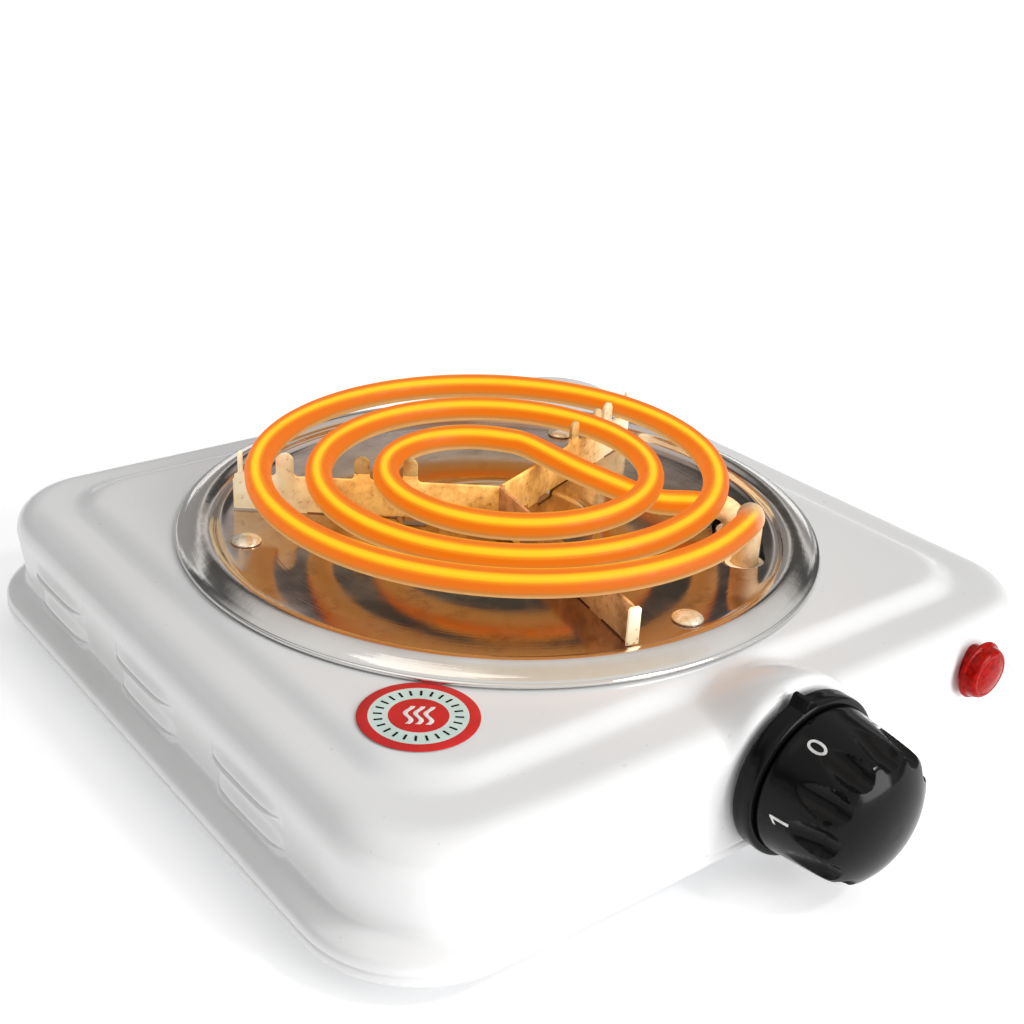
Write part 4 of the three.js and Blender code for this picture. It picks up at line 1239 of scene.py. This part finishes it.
@dataclass
class Dial:
    """The knob with its scale, and the fixed bezel behind it."""

    x: float = 1
    z: float = 25.5
    face_y: float = -112.8
    bezel: float = 21
    bezel_depth: float = 5.5
    back_y: float = -118.6
    flutes: int = 12
    flute_radius: float = 4.3
    flute_from: float = 8.5
    flute_depth: float = 2.7
    flute_run: float = 8.5
    hub: float = 9
    digit_height: float = 5.2
    digit_scale: float = 1.38
    digit_wrap: float = 18.6
    digit_at: float = 6.4
    first_digit: float = -30
    digit_step: float = -60
    pointer: float = -12

    def knob_profile(self) -> list[Vector]:
        """(radius, distance from the bezel) along the knob's outside."""
        return faired(
            [
                (0, 0), (8, 0), (17.6, 0), (19.0, 0.15), (19.2, 0.7), (18.9, 3.5), (18.45, 8),
                (18.0, 12.5), (17.5, 16.5), (17.1, 18.2), (16.1, 19.6), (14.2, 20.9), (11, 22.5),
                (7, 23.7), (3, 24.3), (0, 24.4),
            ],
            7,
        )

    def surface(self, along: float) -> float:
        """The knob's radius at a distance from the bezel."""
        return 19.2 - 1.75 * along / 16.5

    def fluted(self, radius: float, along: float, angle: float) -> float:
        """The radius left where the finger flutes are cut into the front of the knob."""
        if along < self.flute_from:
            return radius
        step = 2 * math.pi / self.flutes
        off = (angle / step - round(angle / step)) * step
        depth = self.flute_depth * min(1.0, (along - self.flute_from) / self.flute_run)
        axis = self.surface(along) - depth + self.flute_radius
        inside = self.flute_radius**2 - (axis * math.sin(off)) ** 2
        if inside <= 0:
            return radius
        return min(radius, axis * math.cos(off) - inside**0.5)

    def knob(self) -> Mesh:
        """The knob, turned and then fluted."""
        bm = turned([(p.x, p.y) for p in self.knob_profile()], self.flutes * 24)
        for vert in bm.verts:
            radius = math.hypot(vert.co.x, vert.co.y)
            if radius > self.hub:
                angle = math.atan2(vert.co.y, vert.co.x)
                share = self.fluted(radius, vert.co.z, angle) / radius
                vert.co.x *= share
                vert.co.y *= share
        return bm

    def digit(self, text: str, degrees: float) -> Mesh:
        """A raised numeral wrapped on the knob, its top towards the bezel.

        Args:
            text: one digit.
            degrees: its place round the knob, clockwise from the top seen from the front.

        Returns:
            The numeral, in the knob's own coordinates about its axis.
        """
        curve = bpy.data.curves.new(f"digit_{text}", "FONT")
        curve.body = text
        curve.align_x = "CENTER"
        curve.size = self.digit_height * self.digit_scale
        curve.extrude = 0.12
        curve.resolution_u = 4
        thing = bpy.data.objects.new("digit", curve)
        bpy.context.scene.collection.objects.link(thing)
        bm = settled(thing)
        if text == "1":
            tall = self.digit_height
            stroke = [(0.15, tall), (-1.55, tall * 0.74), (-1.55, tall * 0.62), (0.15, tall * 0.86)]
            flag = moved(plate(stroke, 0.24, 0.02), Matrix.Rotation(-math.pi / 2, 4, "X"))
            bm = gathered([bm, flag])
        bmesh.ops.remove_doubles(bm, verts=bm.verts, dist=1e-5)
        bmesh.ops.subdivide_edges(bm, edges=[e for e in bm.edges if e.calc_length() > 1.2], cuts=2)
        middle = self.digit_height / 2
        for vert in bm.verts:
            along = self.digit_at - (vert.co.y - middle)
            radius = self.surface(along) + 0.02 + vert.co.z
            angle = math.radians(degrees) + vert.co.x / self.digit_wrap
            vert.co = Vector((radius * math.sin(angle), radius * math.cos(angle), along))
        bmesh.ops.recalc_face_normals(bm, faces=bm.faces)
        return bm

    def build(self, shop: Workshop) -> None:
        """Makes the bezel, its pointer, the knob and its digits."""
        knob = moved(self.knob(), forward(self.x, self.back_y, self.z))
        shop.piece(knob, "fluted_knob", [PHENOLIC], Body.KNOB, ["control_knob"], 24)
        # the digits are made in the knob's own plane: right, up, forward
        swap = Matrix(((1, 0, 0, self.x), (0, 0, -1, self.back_y), (0, 1, 0, self.z), (0, 0, 0, 1)))
        digits = [moved(self.digit(str(i), self.first_digit + self.digit_step * i), swap) for i in range(6)]
        shop.piece(gathered(digits), "dial_digits", [DIAL_WHITE], Body.KNOB, crisp=40)
        self.cup(shop)

    def cup(self, shop: Workshop) -> None:
        """The bezel: a flat cup with a rounded rim and a pointer on its edge."""
        line = faired(
            [(20.0, 0), (20.7, 0.25), (21.0, 0.9), (21.0, 2.6), (21.0, 4.4), (20.75, 5.2), (20.1, 5.5)], 3
        )
        outline = [(4.6, 0), *[(p.x, p.y) for p in line], (19.4, 5.5), (19.2, 5.1), (4.6, 5.1), (4.6, 0)]
        disc = moved(turned(outline, 120), forward(self.x, self.face_y, self.z))
        nub = plate([(-2.7, 0), (2.7, 0), (0.5, 3.2), (-0.5, 3.2)], self.bezel_depth - 0.5, 0.35)
        lean = Matrix.Rotation(math.radians(self.pointer), 4, "Y")
        out = Matrix.Translation((0, 0, self.bezel - 0.9))
        place = Matrix.Translation((self.x, self.face_y - self.bezel_depth / 2, self.z))
        moved(nub, place @ lean @ out)
        shop.piece(gathered([disc, nub]), "bezel_cup", [PHENOLIC], stands_for=["knob_bezel"], crisp=40)


@dataclass
class Fittings:
    """The small outside parts: lamp, label, feet and gland."""

    lamp: tuple[float, float] = (70, 29.7)
    face_y: float = -112.8
    foot: tuple[float, float] = (86, 83)
    gland: tuple[float, float] = (62, 24.2)
    back_y: float = 112.5
    label: tuple[float, float] = (-75.6, -67.3)
    label_radius: float = 14
    label_z: float = 42.3
    label_turn: float = -38
    tick_count: int = 24
    tick_radius: float = 9.2

    def build(self, shop: Workshop) -> None:
        """Makes every fitting."""
        self.lens(shop)
        self.sticker(shop)
        self.feet(shop)
        self.cord_entry(shop)

    def lens(self, shop: Workshop) -> None:
        """The pilot lamp: a flanged dome with a ribbed skirt, on its barrel."""
        x, z = self.lamp
        line = faired(
            [
                (7.4, 0), (7.9, 0.15), (8.0, 0.5), (7.85, 0.9), (7.5, 1.1), (7.3, 1.3), (7.15, 2.0),
                (6.95, 2.9), (6.5, 3.6), (5.7, 4.0), (5.3, 3.95), (4.9, 4.05), (3, 4.5), (1.5, 4.65),
                (0, 4.7),
            ],
            3,
        )
        outline = [(3.6, -9.5), (5.8, -9.5), (5.8, 0), *[(p.x, p.y) for p in line]]
        bm = turned([*outline, (0, -0.2), (3.6, -0.2), (3.6, -9.5)], 64)
        for vert in bm.verts:
            radius = math.hypot(vert.co.x, vert.co.y)
            if 1.4 < vert.co.z < 3.2 and radius > 4:
                rib = 1 - 0.012 * (0.5 + 0.5 * math.cos(16 * math.atan2(vert.co.y, vert.co.x)))
                vert.co.x *= rib
                vert.co.y *= rib
        shop.piece(moved(bm, forward(x, self.face_y, z)), "lamp_lens", [LENS], stands_for=["pilot_lens"])

    def sticker(self, shop: Workshop) -> None:
        """The round label: red rim, mint ring with ticks, red middle with three heat waves."""
        rim, ring, middle = self.label_radius, 11.4, 6.9
        line = [(0, 0.22), (middle, 0.22), (ring, 0.22), (rim - 0.25, 0.22), (rim, 0.1), (rim, 0), (0, 0)]
        bm = turned(line, 96)
        for face in bm.faces:
            centre = face.calc_center_median()
            face.material_index = int(middle < math.hypot(centre.x, centre.y) < ring)
        waves = []
        count, wide, swing, tall = 24, 0.55, 0.75, 7.2
        for middle_x in (-2.3, 0, 2.3):
            line = [
                (middle_x + swing * math.sin(2 * math.pi * i / count * 1.25), tall * (i / count - 0.5))
                for i in range(count + 1)
            ]
            outline = [(px - wide, pz) for px, pz in line] + [(px + wide, pz) for px, pz in reversed(line)]
            waves.append(plate(outline, 0.06, 0.01))
        ticks = []
        out = Matrix.Translation((0, 0, self.tick_radius))
        for i in range(self.tick_count):
            tick = plate([(-0.28, -1.0), (0.28, -1.0), (0.28, 1.0), (-0.28, 1.0)], 0.06, 0.01)
            ticks.append(moved(tick, Matrix.Rotation(2 * math.pi * i / self.tick_count, 4, "Y") @ out))
        turn = Matrix.Rotation(math.radians(self.label_turn), 4, "Z")
        lay = Matrix.Translation((*self.label, self.label_z)) @ turn
        flat = Matrix.Translation((0, 0, 0.25)) @ Matrix.Rotation(-math.pi / 2, 4, "X")
        finishes = [LABEL_RED, LABEL_MINT]
        shop.piece(moved(bm, lay), "label_disc", finishes, stands_for=["round_label"], crisp=50)
        shop.piece(moved(gathered(waves), lay @ flat), "label_waves", [LABEL_WHITE], crisp=50)
        shop.piece(moved(gathered(ticks), lay @ flat), "label_ticks", [PHENOLIC], crisp=50)

    def feet(self, shop: Workshop) -> None:
        """Four rubber feet with a sunk screw seat."""
        side_line = [(5, 0.1), (8.2, 0.1), (8.9, 0.3), (9.2, 1.0), (9.5, 4.0), (9.95, 7.0), (9.8, 7.45)]
        line = faired(side_line, 3)
        outline = [(2.3, 4), (4.4, 4), (4.4, 0.5), *[(p.x, p.y) for p in line], (2.3, 7.5), (2.3, 4)]
        for end, sy in (("front", -1), ("back", 1)):
            for side, sx in (("left", -1), ("right", 1)):
                place = Matrix.Translation((sx * self.foot[0], sy * self.foot[1], 0))
                bm = moved(turned(outline, 40), place)
                node = f"foot_{end}_{side}"
                shop.piece(bm, f"rubber_{node}", [RUBBER], stands_for=[node], crisp=50)

    def cord_entry(self, shop: Workshop) -> None:
        """The gland in the back wall, with a stepped, rounded collar."""
        x, z = self.gland
        collar = [(8.3, 0), (8.6, 0.3), (8.6, 1.6), (8.3, 2.0), (7.6, 2.3), (7.2, 3.0)]
        line = faired([*collar, (6.9, 4.1), (6.2, 4.4)], 3)
        outline = [(3.4, -11), (5.9, -11), (5.9, 0), *[(p.x, p.y) for p in line]]
        outline += [(3.8, 4.4), (3.4, 4.0), (3.4, -11)]
        turn = Matrix.Rotation(-math.pi / 2, 4, "X")
        bm = moved(turned(outline, 56), Matrix.Translation((x, self.back_y - 4.7, z)) @ turn)
        shop.piece(bm, "gland_collar", [RUBBER], stands_for=["cord_gland"], crisp=40)


@dataclass
class Studio:
    """Pale floor, soft lights and the camera."""

    target: Vector
    azimuth: float = -38.55
    elevation: float = 26.55
    roll: float = 2.95
    distance: float = 0.417
    lens: float = 51.08
    shift: tuple[float, float] = (0.0076, 0.037)
    surround: float = 0.67
    backdrop: float = 1.05
    lean: Colour = (0.4, 0.0, 0.25)
    dimmest: Colour = (0.18, 0.18, 0.18)
    zenith: Colour = (0.82, 0.72, 0.60)
    tip: float = -0.4
    bands: tuple[Point, ...] = (
        (0.0, 0.33), (0.03, 0.5), (0.085, 0.85), (0.12, 0.5), (0.155, 0.1),
        (0.27, 0.07), (0.34, 0.3), (0.45, 0.7), (0.8, 0.85),
    )
    floor_half: float = 6

    def build(self) -> None:
        """Sets up everything that isn't the object."""
        self.floor()
        self.world()
        self.lights()
        self.camera()

    def floor(self) -> None:
        """A wide pale floor."""
        bm = bmesh.new()
        bmesh.ops.create_grid(bm, x_segments=8, y_segments=8, size=self.floor_half)
        thing = as_object(bm, "studio_floor")
        thing.data.materials.append(PaleGround("pale_ground", "floor").material())

    def world(self) -> None:
        """A white backdrop; what lights the object is dimmer, and what it mirrors is banded."""
        world = bpy.data.worlds.new("surround")
        bpy.context.scene.world = world
        g = Graph(world)
        seen = g.tree.nodes["Background"]
        g.feed(seen.inputs[0], (1, 1, 1))
        g.feed(seen.inputs[1], self.backdrop)
        at = g.add("ShaderNodeTexCoord", out="Generated")
        lean = g.add("ShaderNodeVectorMath", {"operation": "DOT_PRODUCT"}, {0: at, 1: self.lean}, "Value")
        soft = g.ramp(lean + 0.5, [(0.0, self.dimmest), (1.0, (1, 1, 1))])
        glow = g.add("ShaderNodeBackground", None, {0: soft, 1: self.surround})
        across = g.add("ShaderNodeSeparateXYZ", None, {0: at}, "Y")
        height = g.add("ShaderNodeSeparateXYZ", None, {0: at}, "Z")
        bands = [(place, (level, level, level)) for place, level in self.bands]
        banded = g.ramp(across * self.tip + height, [*bands, (1.0, self.zenith)])
        gloss = g.add("ShaderNodeBackground", None, {0: banded})
        glossy = g.add("ShaderNodeLightPath", out="Is Glossy Ray")
        camera = g.add("ShaderNodeLightPath", out="Is Camera Ray")
        light = g.add("ShaderNodeMixShader", None, {0: glossy, 1: glow, 2: gloss})
        whole = g.add("ShaderNodeMixShader", None, {0: camera, 1: light, 2: Wire(g, seen.outputs[0])})
        g.feed(g.tree.nodes["World Output"].inputs[0], whole)

    def area(
        self,
        name: str,
        place: Sequence[float],
        size: float,
        watts: float,
        tint: Colour = (1, 1, 1),
        aim: Sequence[float] = (0, 0, 0),
    ) -> bpy.types.Object:
        """Adds one area light.

        Args:
            name: the light's name.
            place: where it stands, in metres from the target.
            size: its side in metres.
            watts: its power.
            tint: its colour.
            aim: what it faces, in metres from the target.

        Returns:
            The light.
        """
        data = bpy.data.lights.new(name, "AREA")
        data.size, data.energy, data.color = size, watts, tint
        thing = bpy.data.objects.new(name, data)
        thing.location = self.target + Vector(place)
        thing.rotation_euler = (Vector(aim) - Vector(place)).to_track_quat("-Z", "Y").to_euler()
        bpy.context.scene.collection.objects.link(thing)
        return thing

    def lights(self) -> None:
        """A key from the front right, a small glint, a soft top and the element's warm cast."""
        self.area("key", (0.9, -2.4, 0.8), 1.5, 52)
        self.area("glint", (0.35, -0.8, 0.95), 0.14, 2.6)
        self.area("sky", (-0.5, -0.1, 1.2), 0.8, 1.1)
        warm = self.area("element_cast", (0, -0.008, 0.02), 0.13, 0.1, (1, 0.58, 0.25), (0, -0.008, 0))
        warm.data.shape = "DISK"
        warm.visible_camera = False
        warm.visible_glossy = False

    def camera(self) -> None:
        """The camera, with its small tilt."""
        az, el, roll = (math.radians(a) for a in (self.azimuth, self.elevation, self.roll))
        back = Vector((math.sin(az) * math.cos(el), -math.cos(az) * math.cos(el), math.sin(el)))
        flat = Vector((math.cos(az), math.sin(az), 0))
        rise = back.cross(flat)
        right = flat * math.cos(roll) + rise * math.sin(roll)
        up = rise * math.cos(roll) - flat * math.sin(roll)
        pose = Matrix((right, up, back)).transposed().to_4x4()
        pose.translation = self.target + back * self.distance
        data = bpy.data.cameras.new("camera")
        data.lens = self.lens
        data.sensor_width = 36
        data.shift_x, data.shift_y = self.shift
        data.clip_start = 0.01
        data.clip_end = 50
        camera = bpy.data.objects.new("camera", data)
        camera.matrix_world = pose
        bpy.context.scene.collection.objects.link(camera)
        bpy.context.scene.camera = camera


INSIDE_FINISHES: dict[str, Finish] = {
    "base_plate": ZINC,
    "heat_shield": DULL_STEEL,
    "ceramic_bead": CERAMIC,
    "terminal_pin": DULL_STEEL,
    "control_spindle": BRASS,
    "switch_block": CERAMIC,
    "contact_blade": BRASS,
    "blade_pin": DULL_STEEL,
    "fixed_contact": BRASS,
    "pilot_bulb": GLASS_BULB,
    "lamp_clip": DULL_STEEL,
    "terminal_block": CERAMIC,
    "terminal_screw": BRASS,
    "earth_screw": BRASS,
    "lead_to_switch": LEAD_TAN,
    "lead_mains": LEAD_TAN,
    "lead_to_block": LEAD_PALE,
    "lead_lamp": LEAD_PALE,
}


def main() -> None:
    """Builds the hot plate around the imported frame."""
    logging.basicConfig(level=logging.INFO, format="%(name)s %(message)s")
    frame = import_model()
    low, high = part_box("upper_housing")
    centre = Vector(((low.x + high.x) / 2, (low.y + high.y) / 2, 0))
    shop = Workshop(centre)
    Studio(centre + Vector((0, 0, 0.035))).build()
    shop.dress(frame["nodes"], INSIDE_FINISHES)
    pan = DripPan()
    element = Element()
    for assembly in (Housing(), pan, element, Tripod(pan, element), Dial(), Fittings()):
        assembly.build(shop)
    bpy.context.scene.view_settings.view_transform = "Standard"


if __name__ == "__main__":
    main()
